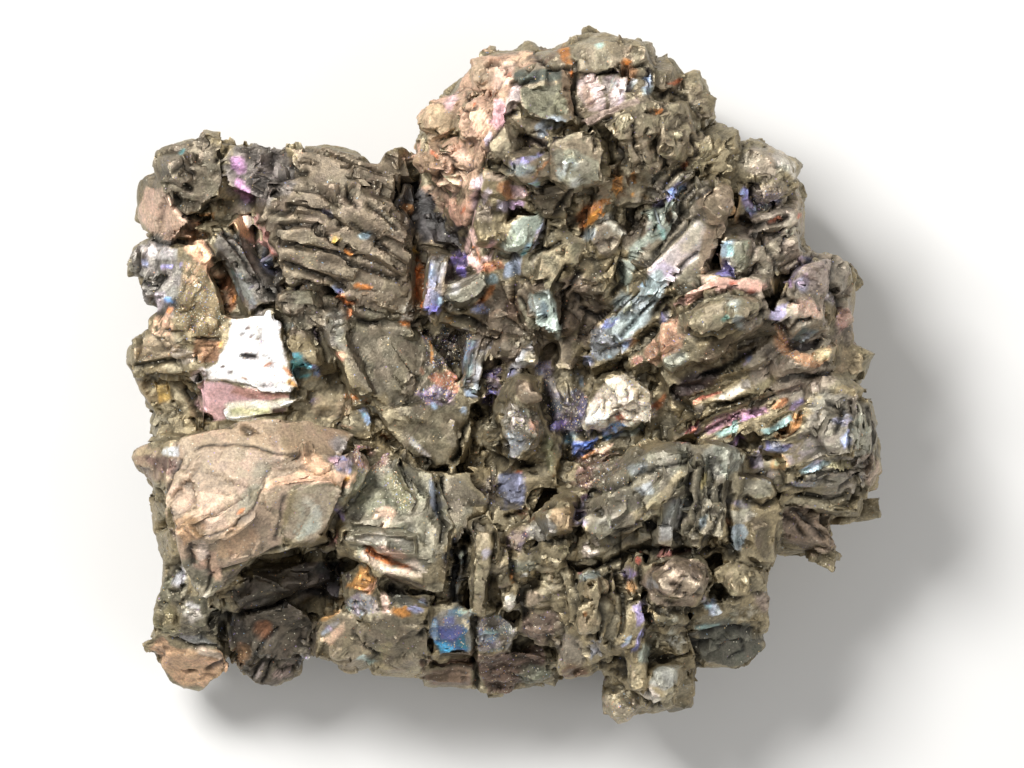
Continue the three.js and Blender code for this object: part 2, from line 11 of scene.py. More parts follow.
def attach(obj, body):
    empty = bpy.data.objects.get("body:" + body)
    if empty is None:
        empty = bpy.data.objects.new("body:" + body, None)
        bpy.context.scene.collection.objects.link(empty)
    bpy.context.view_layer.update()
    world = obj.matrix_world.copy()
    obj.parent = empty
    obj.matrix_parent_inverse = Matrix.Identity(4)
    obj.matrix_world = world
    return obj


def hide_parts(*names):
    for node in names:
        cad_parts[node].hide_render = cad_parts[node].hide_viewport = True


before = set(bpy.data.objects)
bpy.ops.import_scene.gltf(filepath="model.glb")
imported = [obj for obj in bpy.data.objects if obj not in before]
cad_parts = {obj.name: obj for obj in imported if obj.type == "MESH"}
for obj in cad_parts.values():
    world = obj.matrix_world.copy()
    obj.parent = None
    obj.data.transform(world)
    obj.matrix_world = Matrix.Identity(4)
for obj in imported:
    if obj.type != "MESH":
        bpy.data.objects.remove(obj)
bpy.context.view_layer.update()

# ---------------------------------------------------------------------------------------------
# The ore: one intergrown mass of chalcocite, a heavy grey copper sulphide. Its large crystals
# come from the solid model. The small ones are set into them here, in millimetres, and all of
# it is fused further down.
ore = bmesh.new()
ore.from_mesh(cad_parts["chalcocite"].data)
bmesh.ops.scale(ore, vec=(1000, 1000, 1000), verts=ore.verts)
bmesh.ops.remove_doubles(ore, verts=ore.verts, dist=0.001)
face_of_ore = BVHTree.FromBMesh(ore)
chance = np.random.default_rng(11)
LUMP_RADIUS = 0.62
CREST_TAPER = 0.75
RIB_DEPTH = 5


def top_of(x, y):
    """Height of the ore's upper face."""
    hit = face_of_ore.ray_cast(Vector((x, y, 90)), Vector((0, 0, -1)))[0]
    return hit.z if hit else 0.0


def crystal(at, size, turn, roll=0):
    """A small crystal whose crest stands at[2] above the ore's face at at[0], at[1]: a blunt
    many-sided lump if it is short, a bar if it is long. size is its length, breadth and depth."""
    x, y, proud = at
    dip = 0
    if size[0] < 1.8 * size[1]:
        made = bmesh.ops.create_icosphere(ore, subdivisions=1, radius=LUMP_RADIUS)["verts"]
        tumble = Matrix.Rotation(chance.uniform(0, 6.3), 3, Vector(chance.normal(0, 1, 3)))
        bmesh.ops.rotate(ore, matrix=tumble, verts=made)
    else:
        made = bmesh.ops.create_cube(ore, size=1)["verts"]
        dip = chance.uniform(-4, 4)
        roll += chance.uniform(-8, 8)
    for corner in made:
        reach = chance.uniform(0.88, 1.08) * (CREST_TAPER if corner.co.z > 0.45 else 1)
        corner.co.x *= reach
        corner.co.y *= reach * chance.uniform(0.85, 1.15)
    bmesh.ops.translate(ore, vec=(0, 0, -0.5), verts=made)
    bmesh.ops.scale(ore, vec=size, verts=made)
    pose = Matrix.Translation((x, y, top_of(x, y) + proud))
    pose = pose @ Matrix.Rotation(math.radians(turn), 4, "Z")
    pose = pose @ Matrix.Rotation(math.radians(dip), 4, "Y")
    pose = pose @ Matrix.Rotation(math.radians(roll), 4, "X")
    bmesh.ops.transform(ore, matrix=pose, verts=made)


def sheaf(first, last, number, size, turn, roll=0):
    """Thin crystals side by side, from the first place to the last, each a little different."""
    for one in range(number):
        share = one / (number - 1)
        at = [begin + (end - begin) * share for begin, end in zip(first, last)]
        at[2] += chance.uniform(-0.4, 0.4)
        length = size[0] * chance.uniform(0.75, 1.2)
        stray = chance.uniform(-4, 4)
        crystal(at, (length, size[1], size[2]), turn + stray, roll + 2 * stray)


def rib(way, breadth, proud, roll=0):
    """A long crystal that bends along the given way."""
    for (x, y), (to_x, to_y) in zip(way, way[1:]):
        turn = math.degrees(math.atan2(to_y - y, to_x - x))
        length = max(math.hypot(to_x - x, to_y - y) * 1.4, 1.9 * breadth)
        at = ((x + to_x) / 2, (y + to_y) / 2, proud)
        crystal(at, (length, breadth, RIB_DEPTH), turn, roll)


# Each habit says how the ore is broken around a place: which way its crystals run, how long,
# wide and proud the laths are, how large and proud the blocks are, and how coarse the grain is.
habits = []
cracks = []
stains_and_painted_light = []


def habit(x, y, turn, lath, block, grain=0.12):
    habits.append((x, y, math.radians(turn), *lath, *block, grain))


def crack(way, width=0.5, depth=1.0):
    """A crack along the given way, carved in and painted dark as shade; width is half of its width at the
    surface.
    """
    cracks.append((way, width, depth))


def face(corners, colour, fray=0.6, soft=0.35, metal=None, gloss=None, glitter=None, into=0):
    """A facet stained by tarnish or weathering, and at some facets a painted highlight, reflection or
    shade, in sRGB bytes; fray and soft are in millimetres. into is 1 where only creases hold the colour
    and -1 where only crests do."""
    stains_and_painted_light.append((corners, colour, fray, soft, metal, gloss, glitter, into))


def stain_or_painted_light(x, y, reach, colour, turn=0, **finish):
    """An oval of colour with half sizes reach, stained or painted with light or shade."""
    wide = 1.05 - 0.3 * (max(colour) - min(colour)) / max(colour)
    least = min(reach)
    turned = Matrix.Rotation(math.radians(turn), 2)
    rim = [Vector((math.cos(way), math.sin(way))) for way in np.linspace(0, math.tau, 15)[:-1]]
    corners = [turned @ Vector((at.x * reach[0], at.y * reach[1])) * wide for at in rim]
    corners = [(x + at.x, y + at.y) for at in corners]
    face(corners, colour, min(least, 1.6 + 0.2 * least), min(0.6 * least, 0.8), **finish)


def film_or_painted_glint(x, y, reach, colour, turn=0, **finish):
    """An oval where the tarnish is a thin bright layer, or a painted glint."""
    stain_or_painted_light(x, y, reach, colour, turn, metal=0.8, **finish)


def sheen(corners, colour, fray=0.6, **finish):
    """A facet under a thin bright film."""
    face(corners, colour, fray, metal=0.8, **finish)


def crest(x, y, reach, colour, turn=0, **finish):
    """An oval where only the crests are paler or darker."""
    stain_or_painted_light(x, y, reach, colour, turn, into=-1, **finish)


# Upper left: a thick fan of ribs shingled downhill to the right, dull and dark, with rusty seams
# round its toe.
rib([(-34.6, 35.1), (-30, 35.7), (-25, 33.5), (-19.6, 31.3)], 3.6, 0.9, -12)
rib([(-35.4, 31.2), (-31, 31.9), (-26, 29.9), (-21, 26.7), (-16.6, 22.4)], 3.6, 1.1, -12)
rib([(-38, 28.5), (-34, 29.3), (-30, 28.9), (-26, 26.9), (-21, 23.5), (-16, 19.3)], 2.8, 1.2, -10)
rib([(-37.5, 25.3), (-34, 25.5), (-30, 25.5), (-27, 24.2), (-22, 21.2), (-17, 17.6)], 2.3, 1.3, -8)
rib([(-37, 23.2), (-33, 23.2), (-29.5, 22.5), (-25.5, 20.7)], 2.3, 1.3, -8)
rib([(-35.8, 20.8), (-32.5, 19.9), (-28.5, 18.5), (-24, 17.2), (-20, 14.9), (-16, 12.9)], 3, 1.3, -10)
rib([(-35.6, 17.6), (-32.5, 16.7), (-29.5, 15.4)], 2.2, 1.2)
rib([(-27, 14.4), (-22, 14.2), (-17, 10.8)], 2.6, 1.1)
rib([(-24.6, 11.3), (-20, 9.1), (-16.4, 8.3)], 4, 1.3)
crystal((-18, 35.4, 1.4), (5, 3.6, 6), 10)
crystal((-12, 30, 1), (5, 3, 6), 50)
crack([(-35.5, 27), (-33, 27), (-31, 27.3), (-29.5, 27), (-28, 26), (-26.6, 25)])
crack([(-38, 26.3), (-36, 25.8), (-34.5, 26.3)], 0.4)
crack([(-36.5, 24.1), (-34.5, 24.4), (-30.5, 24.2), (-28, 23.1), (-24.8, 20.9)])
crack([(-36, 21.9), (-33.5, 21.9), (-28.5, 20.6), (-24.5, 18.9), (-20, 16.9), (-17.6, 15.7)], 0.45)
crack([(-35, 19.3), (-33, 18.6), (-31.5, 17.4), (-28.6, 16.3), (-26, 15.2)], 0.65)
crack([(-34.5, 15.5), (-32, 15.5), (-30, 14.7), (-28, 13.6)], 0.7, 1.6)
crack([(-35, 33.7), (-32.4, 33.3)])
crack([(-29.6, 29.3), (-27.4, 27.9)], 0.35)
crack([(-27, 30.6), (-24.4, 28.2)], 0.3)
crack([(-25, 25.3), (-22, 23), (-19.6, 20.7)], 0.3)
crack([(-22.6, 28.5), (-18.4, 24.3)], 0.28)
crack([(-28.6, 14.2), (-26.6, 13), (-25, 10.4), (-22.4, 8.4), (-18, 8.9), (-14.6, 9)], 0.6, 1.4)
crack([(-14.7, 9), (-14.4, 15), (-14.2, 20.4)], 0.5, 1.1)
crack([(-18.4, 31.1), (-17.6, 28.5), (-15.6, 26.6)], 0.7, 1.4)
habit(-29, 34, -20, (16, 2, 0.22), (6, 0.12), 0.1)
habit(-20, 31, -26, (16, 2, 0.22), (6, 0.12), 0.1)
for x, y, turn in ((-32, 27, -20), (-21, 24, -30), (-31, 20, -24)):
    habit(x, y, turn, (14, 1.8, 0.25), (6, 0.12), 0.1)
habit(-20, 17, -30, (14, 2, 0.22), (6, 0.15), 0.1)
habit(-22, 11, -8, (7, 1.8, 0.22), (4, 0.3))
habit(-11, 26, -40, (5, 1.5, 0.3), (3, 0.4))
stain_or_painted_light(-25, 22, (19, 17), (124, 113, 92), -15)
# Painted shade: a dark patch in the gully between the fan and the top lobe.
stain_or_painted_light(-11.6, 27, (4.6, 6.4), (76, 71, 68), 40, metal=0.75)
stain_or_painted_light(-14.3, 15, (0.9, 6), (226, 134, 40), into=1)
stain_or_painted_light(-18, 8.8, (3.4, 1), (206, 130, 44), -4, into=1)
stain_or_painted_light(-26.4, 13.2, (2.4, 0.7), (222, 124, 40), -32)
stain_or_painted_light(-24.8, 10.4, (0.8, 1.6), (216, 130, 60), 30, into=1)
stain_or_painted_light(-23, 14.9, (1.6, 0.5), (214, 130, 44), -16)
stain_or_painted_light(-27.2, 23.2, (0.9, 0.5), (196, 164, 40), -20)
stain_or_painted_light(-25.5, 20.5, (0.9, 0.3), (220, 140, 40), -14)
stain_or_painted_light(-22.9, 23.4, (0.8, 0.7), (156, 184, 196))
film_or_painted_glint(-29.2, 26.8, (1.2, 0.6), (120, 112, 130), -20)
film_or_painted_glint(-27.4, 14.4, (0.9, 0.8), (150, 160, 216), -20)
stain_or_painted_light(-14.6, 20.8, (0.6, 0.4), (206, 160, 50), -30)
stain_or_painted_light(-15.4, 27.2, (0.7, 0.9), (176, 126, 70), 30)
stain_or_painted_light(-15, 33.9, (0.9, 0.4), (206, 150, 60), -30)
crest(-16.4, 10.6, (0.8, 1.4), (166, 162, 146), 20)
stain_or_painted_light(-17.8, 9.4, (0.7, 0.3), (236, 234, 226), 10)

# Far left: a column of lumps and dark bars, with pale pink facets, above a cleavage face painted
# near white as a reflection.
sheaf((-45, 19.4, 1), (-40.6, 16.6, 1), 4, (14, 1.5, 5), -53, roll=15)
crystal((-57, 19.4, 1.4), (5.4, 4, 7), 60)
crystal((-55.6, 14.4, 1.4), (5, 3.6, 7), 20)
crystal((-51, 14, 1.6), (6, 3.4, 7), 75)
crystal((-48.6, 9, 1.4), (5, 3.4, 7), 95)
crystal((-50.6, 5, 1.6), (6, 4, 7), 10)
crystal((-57, 5.4, 1), (6, 4.4, 7), 20)
crystal((-42.6, 35.6, 1.2), (6, 3, 7), -20)
crystal((-39, 31.6, 1.4), (6, 2.6, 7), -40)
crystal((-53, 31, 1), (5, 4, 6), 50)
crystal((-49.4, 33, 1), (5, 4.4, 6), 20)
crystal((-39.4, -4.9, 1.4), (12, 2.2, 5), 5, roll=-20)
crack([(-59.4, 2.3), (-56, 2), (-53.6, 2.2)])
crack([(-57.6, 0.2), (-55.4, -0.6)], 0.4)
crack([(-57.6, 22.5), (-55.6, 22.1), (-52, 22.3)], 0.35)
crack([(-53.8, 29), (-51.6, 26.6), (-49.6, 26.2)], 0.6, 1.4)
crack([(-48.4, 21.6), (-46.8, 17.4), (-44.2, 13.4)], 0.35)
crack([(-46, 24), (-43.6, 20), (-40, 15)], 0.3)
crack([(-43, 21.6), (-40.6, 18), (-37.8, 14)], 0.35)
crack([(-37, 20), (-36.6, 17.4), (-35, 14.8)], 0.6, 1.5)
crack([(-36.8, 9.6), (-36, 5.4), (-34.6, 3.4)], 0.4)
crack([(-50.6, -1.6), (-49.6, -5.2), (-46.6, -7), (-44, -7.4)], 0.6, 1.6)
crack([(-58.6, 15.6), (-56, 15.2), (-54.6, 17.4)], 0.4)
crack([(-50, 7.2), (-46.6, 6.8)], 0.3)
crack([(-53.6, 34), (-52, 35), (-50.6, 33.6)])
crack([(-52.6, 32), (-50.8, 30.6)], 0.6, 1.2)
crack([(-46.6, 35.6), (-45, 37.6)])
crack([(-42.4, 3.5), (-40.7, 3.5)], 0.6, 0.7)
for x, y in ((-42.5, 8.6), (-42, 7), (-43.3, 7.5), (-40.8, 6.6), (-45, 1), (-43.6, 0.1), (-39.2, -1)):
    crack([(x, y), (x + 0.3, y + 0.1)], 0.3, 0.4)
habit(-52, 34, 20, (4, 2, 0.2), (3.2, 0.75))
habit(-47, 38.5, 0, (4, 2, 0.2), (3, 0.6))
habit(-40, 33, -35, (6, 1.4, 0.3), (2.8, 0.6))
habit(-56, 28, 60, (6, 3, 0.08), (5, 0.2), 0.08)
habit(-56, 17, 80, (5, 2, 0.2), (3, 0.6))
habit(-50, 12, 70, (4, 1.6, 0.2), (2.4, 0.6), 0.25)
habit(-43, 19, -55, (8, 0.9, 0.4), (3, 0.3))
habit(-41, 24, -40, (5, 3, 0.08), (5, 0.2), 0.08)
habit(-55, 4, 30, (5, 2, 0.3), (2.8, 0.7), 0.2)
habit(-41, 4, 5, (6, 3, 0.02), (6, 0.03), 0.02)
habit(-41, -3.4, -4, (8, 2, 0.05), (5, 0.1), 0.05)
stain_or_painted_light(-52, 33, (7, 7), (122, 114, 94))
stain_or_painted_light(-40, 33, (6, 5), (118, 112, 104), -35)
stain_or_painted_light(-41.6, 18, (4, 7), (112, 108, 98), 38)
film_or_painted_glint(-42.6, 14, (1.2, 3.6), (142, 142, 144), 40)
film_or_painted_glint(-38.6, 18.8, (1, 1.8), (132, 134, 160), 40)
stain_or_painted_light(-52, 37, (0.6, 0.5), (100, 160, 160))
# Pale peach and pink facets on this column: partly tarnish, partly painted warm light on faces that lean
# left.
face([(-59.6, 27), (-58, 30.6), (-55.4, 30.8), (-54, 28.6), (-51.6, 26), (-50.2, 23.6), (-53, 22.4),
      (-56.6, 22.3), (-58.6, 24.2), (-60.4, 25.6)], (204, 176, 150))
face([(-54.8, 30), (-51.4, 26), (-50.2, 23.5), (-51.6, 24), (-53.2, 26.6)], (236, 200, 170))
stain_or_painted_light(-56, 17, (4.4, 6), (134, 131, 122), 10)
face([(-59.6, 21.6), (-56.8, 22), (-52.6, 21.6), (-53, 20.2), (-56, 20), (-59, 20.4)], (190, 188, 184),
     metal=0.5)
face([(-56.4, 14.6), (-54.4, 14.6), (-54.6, 12.6), (-56.8, 11)], (198, 190, 196), metal=0.5)
film_or_painted_glint(-58.4, 19.3, (0.7, 0.8), (126, 166, 220))
film_or_painted_glint(-54.2, 18.9, (0.7, 0.3), (176, 160, 224), 10)
film_or_painted_glint(-51.8, 19.3, (0.6, 0.4), (170, 150, 226))
film_or_painted_glint(-53.8, 13.5, (0.7, 0.4), (130, 160, 216))
stain_or_painted_light(-53.8, 12, (0.4, 0.6), (216, 134, 60))
face([(-52, 20), (-49.4, 18.8), (-47, 14), (-45.6, 9), (-47, 7.6), (-51, 8), (-53, 12), (-52, 17)],
     (150, 136, 100), glitter=0.3)
crest(-54.6, 9, (1.6, 2.6), (228, 186, 150), 20)
crest(-50.6, 17, (1.2, 2), (206, 176, 136), glitter=0.1)
face([(-51, 25.2), (-49.4, 25.2), (-48, 19.6), (-46.4, 16), (-47, 14.6), (-49.4, 18.6), (-51.6, 21.6)],
     (232, 184, 142))
face([(-47, 16.2), (-46.2, 16), (-44, 12.6), (-44.2, 10.8), (-45.2, 10.4), (-46.6, 13)], (176, 120, 74))
stain_or_painted_light(-44.6, 12.6, (0.4, 0.8), (222, 140, 40))
stain_or_painted_light(-48.2, 26.4, (2, 0.3), (206, 144, 66), 4)
stain_or_painted_light(-43.4, 34.6, (0.9, 1.6), (206, 156, 202), 30)
stain_or_painted_light(-42.4, 30.6, (0.8, 2.4), (214, 160, 206), 32)
# More of these facets: partly tarnish, partly painted warm light.
face([(-44, 25.4), (-42, 26.7), (-40.4, 26.4), (-38.4, 22.8), (-36.6, 20.4), (-37.6, 19.9), (-40, 21.2),
      (-42.2, 22.4)], (222, 172, 158), metal=0.2)
face([(-44, 25.4), (-42.6, 26.2), (-41.4, 22.8), (-42.2, 22.4), (-43.6, 24)], (242, 188, 134))
face([(-42.8, 26.4), (-40.6, 26.5), (-40.6, 24.6), (-41.6, 24)], (246, 224, 202))
stain_or_painted_light(-38, 21, (0.4, 1.2), (212, 120, 96), 40)
face([(-59.8, 5.2), (-57, 7.8), (-53.4, 8.2), (-52, 6), (-53.6, 2.8), (-58, 2.8), (-60.4, 3.6)],
     (158, 142, 112), glitter=0.08)
face([(-53.4, 5.4), (-50.2, 4.8), (-49, 3), (-51.6, 1.4), (-53.2, 2.4)], (180, 170, 150))
face([(-50, 7.2), (-46.4, 6.6), (-46, 2.2), (-48.8, 2), (-50, 3.6)], (150, 116, 82))
stain_or_painted_light(-46.3, 5.8, (0.4, 1), (230, 150, 40))
face([(-60.8, -0.6), (-58, 1.6), (-54, 0.4), (-53.8, -2.6), (-56.4, -4.8), (-58.4, -2)], (146, 132, 98))
face([(-56.2, -0.8), (-53.8, -1), (-53.6, -2.8), (-55.4, -3.4)], (222, 184, 90), metal=0.5)
# The cleavage face is painted near white: a painted reflection of the light on its mirror-flat face.
face([(-44.7, 10.2), (-42, 10), (-40, 10.5), (-38, 10.1), (-37.1, 9), (-37, 7), (-36.3, 4), (-35.2, 1.5),
      (-33.6, -0.8), (-34.6, -1.9), (-40, -1.4), (-47.3, -1.2), (-48.2, 0.6), (-46, 1.8), (-45.6, 5)],
     (255, 253, 250), metal=0.1)
stain_or_painted_light(-41.6, 3.5, (1.2, 0.5), (74, 68, 64))
stain_or_painted_light(-38.6, 2.4, (0.7, 0.4), (206, 140, 100), 20)
stain_or_painted_light(-35.6, 1.2, (0.5, 1.4), (222, 150, 90), 30)
stain_or_painted_light(-34.6, -0.8, (1.2, 0.7), (236, 176, 80), -30)
for x, y in ((-42.4, 8.6), (-41.9, 7), (-40.7, 6.6), (-44.8, 1), (-43.4, 0.1), (-41.6, -0.3)):
    stain_or_painted_light(x, y, (0.3, 0.2), (160, 118, 88))
face([(-50.4, 0), (-48.6, 1.2), (-47.7, 0), (-48, -1), (-49.8, -1.7)], (200, 194, 190))
face([(-49, -1.4), (-43, -1.6), (-37, -2), (-34.6, -2.6), (-38, -3.2), (-44, -4), (-44.8, -5),
      (-44.9, -6.4), (-46.6, -6.4), (-48.6, -5), (-50.2, -3.6)], (212, 172, 176), metal=0.3)
face([(-43, -1.6), (-37, -2), (-34.6, -2.6), (-38, -3.1), (-43.6, -2.8)], (192, 146, 134))
face([(-44.6, -4.2), (-40, -3.4), (-36, -2.9), (-33.4, -3), (-34.8, -4), (-37.6, -4.6), (-38, -5.7),
      (-41, -6.3), (-45.4, -7.4), (-44.2, -5.8)], (252, 248, 226), metal=0.1)
face([(-44, -4.9), (-38, -4.4), (-38, -5.6), (-44, -5.9)], (238, 240, 184), metal=0.1)
face([(-37.8, -4.7), (-35.4, -4.2), (-34.8, -5), (-36.8, -5.8)], (100, 84, 78))
sheen([(-35, 4), (-33.6, 4), (-32, 1.6), (-32.4, 0.4), (-34.6, 0.6), (-35.2, 2)], (88, 160, 170))
stain_or_painted_light(-33.9, 2.8, (0.4, 0.4), (130, 212, 222))
sheen([(-32.2, 2), (-31.4, 1.8), (-30.5, 0.2), (-31, 0)], (156, 166, 218))
film_or_painted_glint(-31.2, -3.8, (0.7, 0.5), (156, 140, 200), -10)

# Between the fan and the long slab: blunt knobs beside a deep black gap.
crystal((-34.4, 12.6, 1.2), (5, 4, 6), 20)
crystal((-33.4, 7, 1.2), (3.6, 3.4, 6), 50)
crystal((-31.6, 3.4, 1.4), (4.6, 3, 6), 80)
crystal((-30.4, 9.6, 1), (4, 3.4, 6), 30)
crystal((-26.4, 9, 1), (4, 3.4, 6), 10)
crack([(-33.9, 12.1), (-33.6, 12.3)], 0.5, 0.6)
habit(-33, 11, -10, (4, 2.5, 0.15), (3.2, 0.35))
habit(-31, 4, 80, (5, 2, 0.2), (3, 0.5))
habit(-28, -5, -8, (6, 1.4, 0.3), (2.5, 0.6))
stain_or_painted_light(-32, 10, (5, 4), (128, 119, 98))
crest(-33.4, 12.6, (2.2, 2), (146, 141, 118))
stain_or_painted_light(-26.5, 8, (2.4, 3.4), (142, 140, 126), 30)
film_or_painted_glint(-35.8, 8.6, (0.9, 0.7), (170, 176, 176))
stain_or_painted_light(-33.8, 12.1, (0.4, 0.3), (70, 64, 56))
stain_or_painted_light(-27, 4.4, (0.8, 0.9), (240, 176, 140))
stain_or_painted_light(-30.8, 6.4, (0.6, 1.6), (60, 52, 54), 20)
stain_or_painted_light(-28.6, -5, (3.4, 1.8), (126, 112, 84), -10)
stain_or_painted_light(-25, -3.4, (2.6, 0.7), (206, 130, 50), -12, into=1)
film_or_painted_glint(-23.4, -6, (0.5, 1.2), (150, 176, 220), 30)

# Middle: the long slab, dull above and full of copper and violet sparks where it meets the hollow.
sheaf((-5.4, 2.4, 1), (-2.4, 1.4, 0.6), 4, (10, 1.1, 5), 74, roll=-10)
sheaf((-12, 6, 0.8), (-8, 3, 0.6), 5, (7, 0.9, 5), 60)
crystal((-19, 3, 0.8), (11, 4, 6), -52)
crystal((-15.4, -6, 1), (6, 5, 6), -20)
crystal((-9, -9.4, 1), (6, 5, 6), 30)
crack([(-20, -9.4), (-16, -13), (-12.4, -14.4)], 0.8, 2)
crack([(-12.4, -14.6), (-8.6, -15.2), (-7, -14.2)], 0.4)
crack([(-5, -5), (-4.6, -6.6), (-6.6, -9), (-7, -11.6), (-8.6, -13.4)], 0.5, 1.2)
crack([(-3, -6.6), (-2.2, -10.6), (-1.6, -13)], 0.5, 1.2)
crack([(-3.2, 2.4), (-2.8, 0.4), (-4, -3)], 0.4, 1.2)
crack([(-9.8, 10), (-6.8, 9.2), (-4.4, 8)], 0.9, 1.5)
crack([(-13.6, 7.8), (-16, 8.4)])
habit(-21, 3, -50, (7, 1.8, 0.28), (3, 0.35), 0.2)
habit(-11, 4, 65, (6, 0.8, 0.35), (2, 0.4), 0.3)
habit(-13, -9, -20, (5, 2, 0.2), (3, 0.3), 0.2)
habit(-6, -18, -50, (6, 3, 0.1), (5, 0.25))
habit(-4, 2, 72, (8, 0.8, 0.5), (3, 0.3))
stain_or_painted_light(-18, 2, (12, 6), (120, 113, 92), -45)
stain_or_painted_light(-12, -10, (6, 5), (124, 116, 92))
sheen([(-14.6, 8.2), (-8, 8.4), (-5, 6.4), (-7, 1.6), (-13, 2.4)], (88, 78, 76), 0.9, glitter=0.4)
sheen([(-15, -1.6), (-11, -0.8), (-7.2, -2.4), (-8, -4.2), (-13, -4)], (146, 122, 148), 0.9, glitter=0.5)
face([(-14, 2), (-12, 0.9), (-8, 0.9), (-7.2, -2.4), (-9, -1.6), (-11.4, -0.2)], (188, 132, 100), 1.4,
     glitter=0.35)
stain_or_painted_light(-12.4, 4.6, (0.3, 2.4), (214, 150, 70), 14, glitter=0.3)
sheen([(-6.8, 5.8), (-4.4, 6.4), (-2.4, 6.6), (-3.2, 2.6), (-4, -1.4), (-6, -3.6), (-6.8, 0)],
      (150, 156, 172))
sheen([(-4.4, 2), (-3.6, 2), (-4.2, -2.6), (-5.2, -2.4)], (196, 210, 206))
film_or_painted_glint(-5.6, 4.2, (0.5, 1.6), (166, 176, 216), -20)
film_or_painted_glint(-2.7, 5.2, (0.5, 1.3), (192, 206, 236), -10)
sheen([(-2.4, 0.8), (-0.8, 1.2), (-1.4, -3), (-2.6, -5.4), (-4.2, -4.2), (-3, -2)], (144, 120, 186),
      glitter=0.4)
stain_or_painted_light(-6.4, -5.6, (0.4, 0.7), (186, 208, 226), 10)
film_or_painted_glint(-11.5, -4.5, (0.5, 0.9), (176, 192, 216), 30)
stain_or_painted_light(-14.4, -11.2, (2.8, 0.35), (206, 204, 196), -48, glitter=0.3)
stain_or_painted_light(-19.6, -9.4, (1.2, 0.5), (190, 126, 60), -40, into=1)

# Lower left: the big pale slab, tan partly from weathering and partly painted warm light, with coppery
# stains on its inner end.
crystal((-45, -22, 0.8), (12, 5, 5), 30)
crystal((-36, -14.6, 0.6), (12, 3, 5), 25)
crystal((-50.6, -23.6, 0.3), (5.4, 4.8, 4), 0)
crystal((-42, -26.4, 0.8), (8, 5, 5), 35)
crack([(-50, -11), (-44, -10.8), (-38, -11.2), (-32, -12.6)], 0.2, 0.35)
crack([(-38.4, -17.4), (-40.6, -20.8), (-45, -24), (-48.6, -25.4)], 0.25, 0.4)
crack([(-50.4, -26.8), (-50, -29.8)], 0.45)
crack([(-52.6, -12.4), (-54, -16), (-55, -18.6)], 0.35, 0.6)
crack([(-34.8, -19.6), (-36, -22.4), (-37.6, -25.4)], 0.25, 0.4)
crack([(-47.6, -28.4), (-47, -31.6), (-47.6, -34)], 0.35, 0.8)
crack([(-45, -31), (-41, -29.4), (-37.4, -26.6)], 0.4, 0.8)
habit(-44, -12, 4, (14, 3.4, 0.1), (7, 0.12), 0.05)
habit(-30, -10, -8, (12, 2, 0.12), (5, 0.15), 0.08)
habit(-47, -20, 20, (14, 4, 0.1), (8, 0.15), 0.05)
habit(-33, -21, 50, (7, 2.6, 0.15), (4, 0.25), 0.08)
habit(-40, -24, 40, (10, 3, 0.12), (6, 0.2), 0.06)
habit(-47, -30, 80, (6, 1.4, 0.35), (3, 0.3))
habit(-57, -14, 60, (5, 2, 0.2), (3, 0.5))
habit(-25, -14, -20, (4, 1.2, 0.3), (2, 0.4), 0.3)
# The slab's tan: partly weathering, partly painted warm light on its faces that lean left.
face([(-53, -9.2), (-46, -7.6), (-38, -6.6), (-30, -6.8), (-25.4, -8), (-24, -11), (-27, -16.8),
      (-33.6, -17.6), (-35, -21.6), (-36.6, -25.8), (-40, -28.8), (-45, -31), (-46, -35), (-50, -34.2),
      (-51.4, -30), (-53.8, -26), (-55.6, -19.6), (-54, -13)], (161, 142, 116), 0.8, metal=0.2)
face([(-50, -8.4), (-38, -6.6), (-30, -6.8), (-25.4, -8), (-27, -11.8), (-32, -12.6), (-38, -11.4),
      (-50, -11)], (154, 133, 104), 1)
face([(-54, -17.4), (-44, -17.2), (-44.6, -20), (-47, -23), (-52, -21.4), (-55, -20)], (196, 171, 141), 1)
face([(-48.4, -25), (-44.6, -22.8), (-40.4, -20.8), (-37.6, -17.6), (-38.4, -17.2), (-41, -21.6),
      (-46.6, -24.6)], (200, 174, 143), 0.7)
stain_or_painted_light(-43, -25.6, (4, 2.4), (186, 156, 120), 35)
face([(-53.2, -22.4), (-50.4, -21), (-48, -23), (-48.4, -25.4), (-51, -26.6)], (170, 138, 98), 0.8)
stain_or_painted_light(-51, -23, (1.2, 1), (190, 158, 116))
face([(-44.2, -19.6), (-42.8, -18), (-40.4, -16.6), (-38.8, -17.4), (-40, -20.6), (-43, -21.8)],
     (138, 131, 107))
stain_or_painted_light(-39, -14.6, (2.4, 1.4), (140, 132, 108), 30)
stain_or_painted_light(-43, -21.2, (0.7, 0.4), (206, 130, 70), 20)
face([(-38.8, -19), (-37.6, -16.8), (-34, -15.4), (-31, -14), (-28.4, -15.2), (-23, -14.8), (-22.4, -15.8),
      (-26, -17.4), (-31, -16.8), (-36, -17.8)], (218, 182, 146), 0.8)
face([(-32.6, -12.2), (-30.4, -12.4), (-28.4, -15.4), (-31.2, -15.6)], (224, 184, 142))
stain_or_painted_light(-27, -10.6, (1.1, 1.3), (160, 154, 146), metal=0.6)
sheen([(-28.8, -12.2), (-26.6, -12.4), (-24.6, -13.2), (-25.6, -15.2), (-27.8, -14.8)], (152, 152, 206),
      glitter=0.15)
film_or_painted_glint(-28.4, -13, (0.9, 0.6), (214, 160, 180))
sheen([(-25, -10.6), (-20, -11.4), (-19.4, -15), (-23, -15.2), (-24.8, -13.4)], (172, 122, 116), 0.9,
      glitter=0.5)
stain_or_painted_light(-26.2, -15.9, (0.7, 0.35), (238, 164, 40))
face([(-37, -24.8), (-34, -21.6), (-33, -18.2), (-28, -17.4), (-26.2, -19.6), (-29, -23.8), (-32, -26.4)],
     (160, 148, 122), 1, metal=0.3)
crest(-31.4, -21.6, (1.6, 1.8), (176, 178, 158), 20)
crest(-32.4, -24, (2, 0.9), (166, 172, 154), 20)
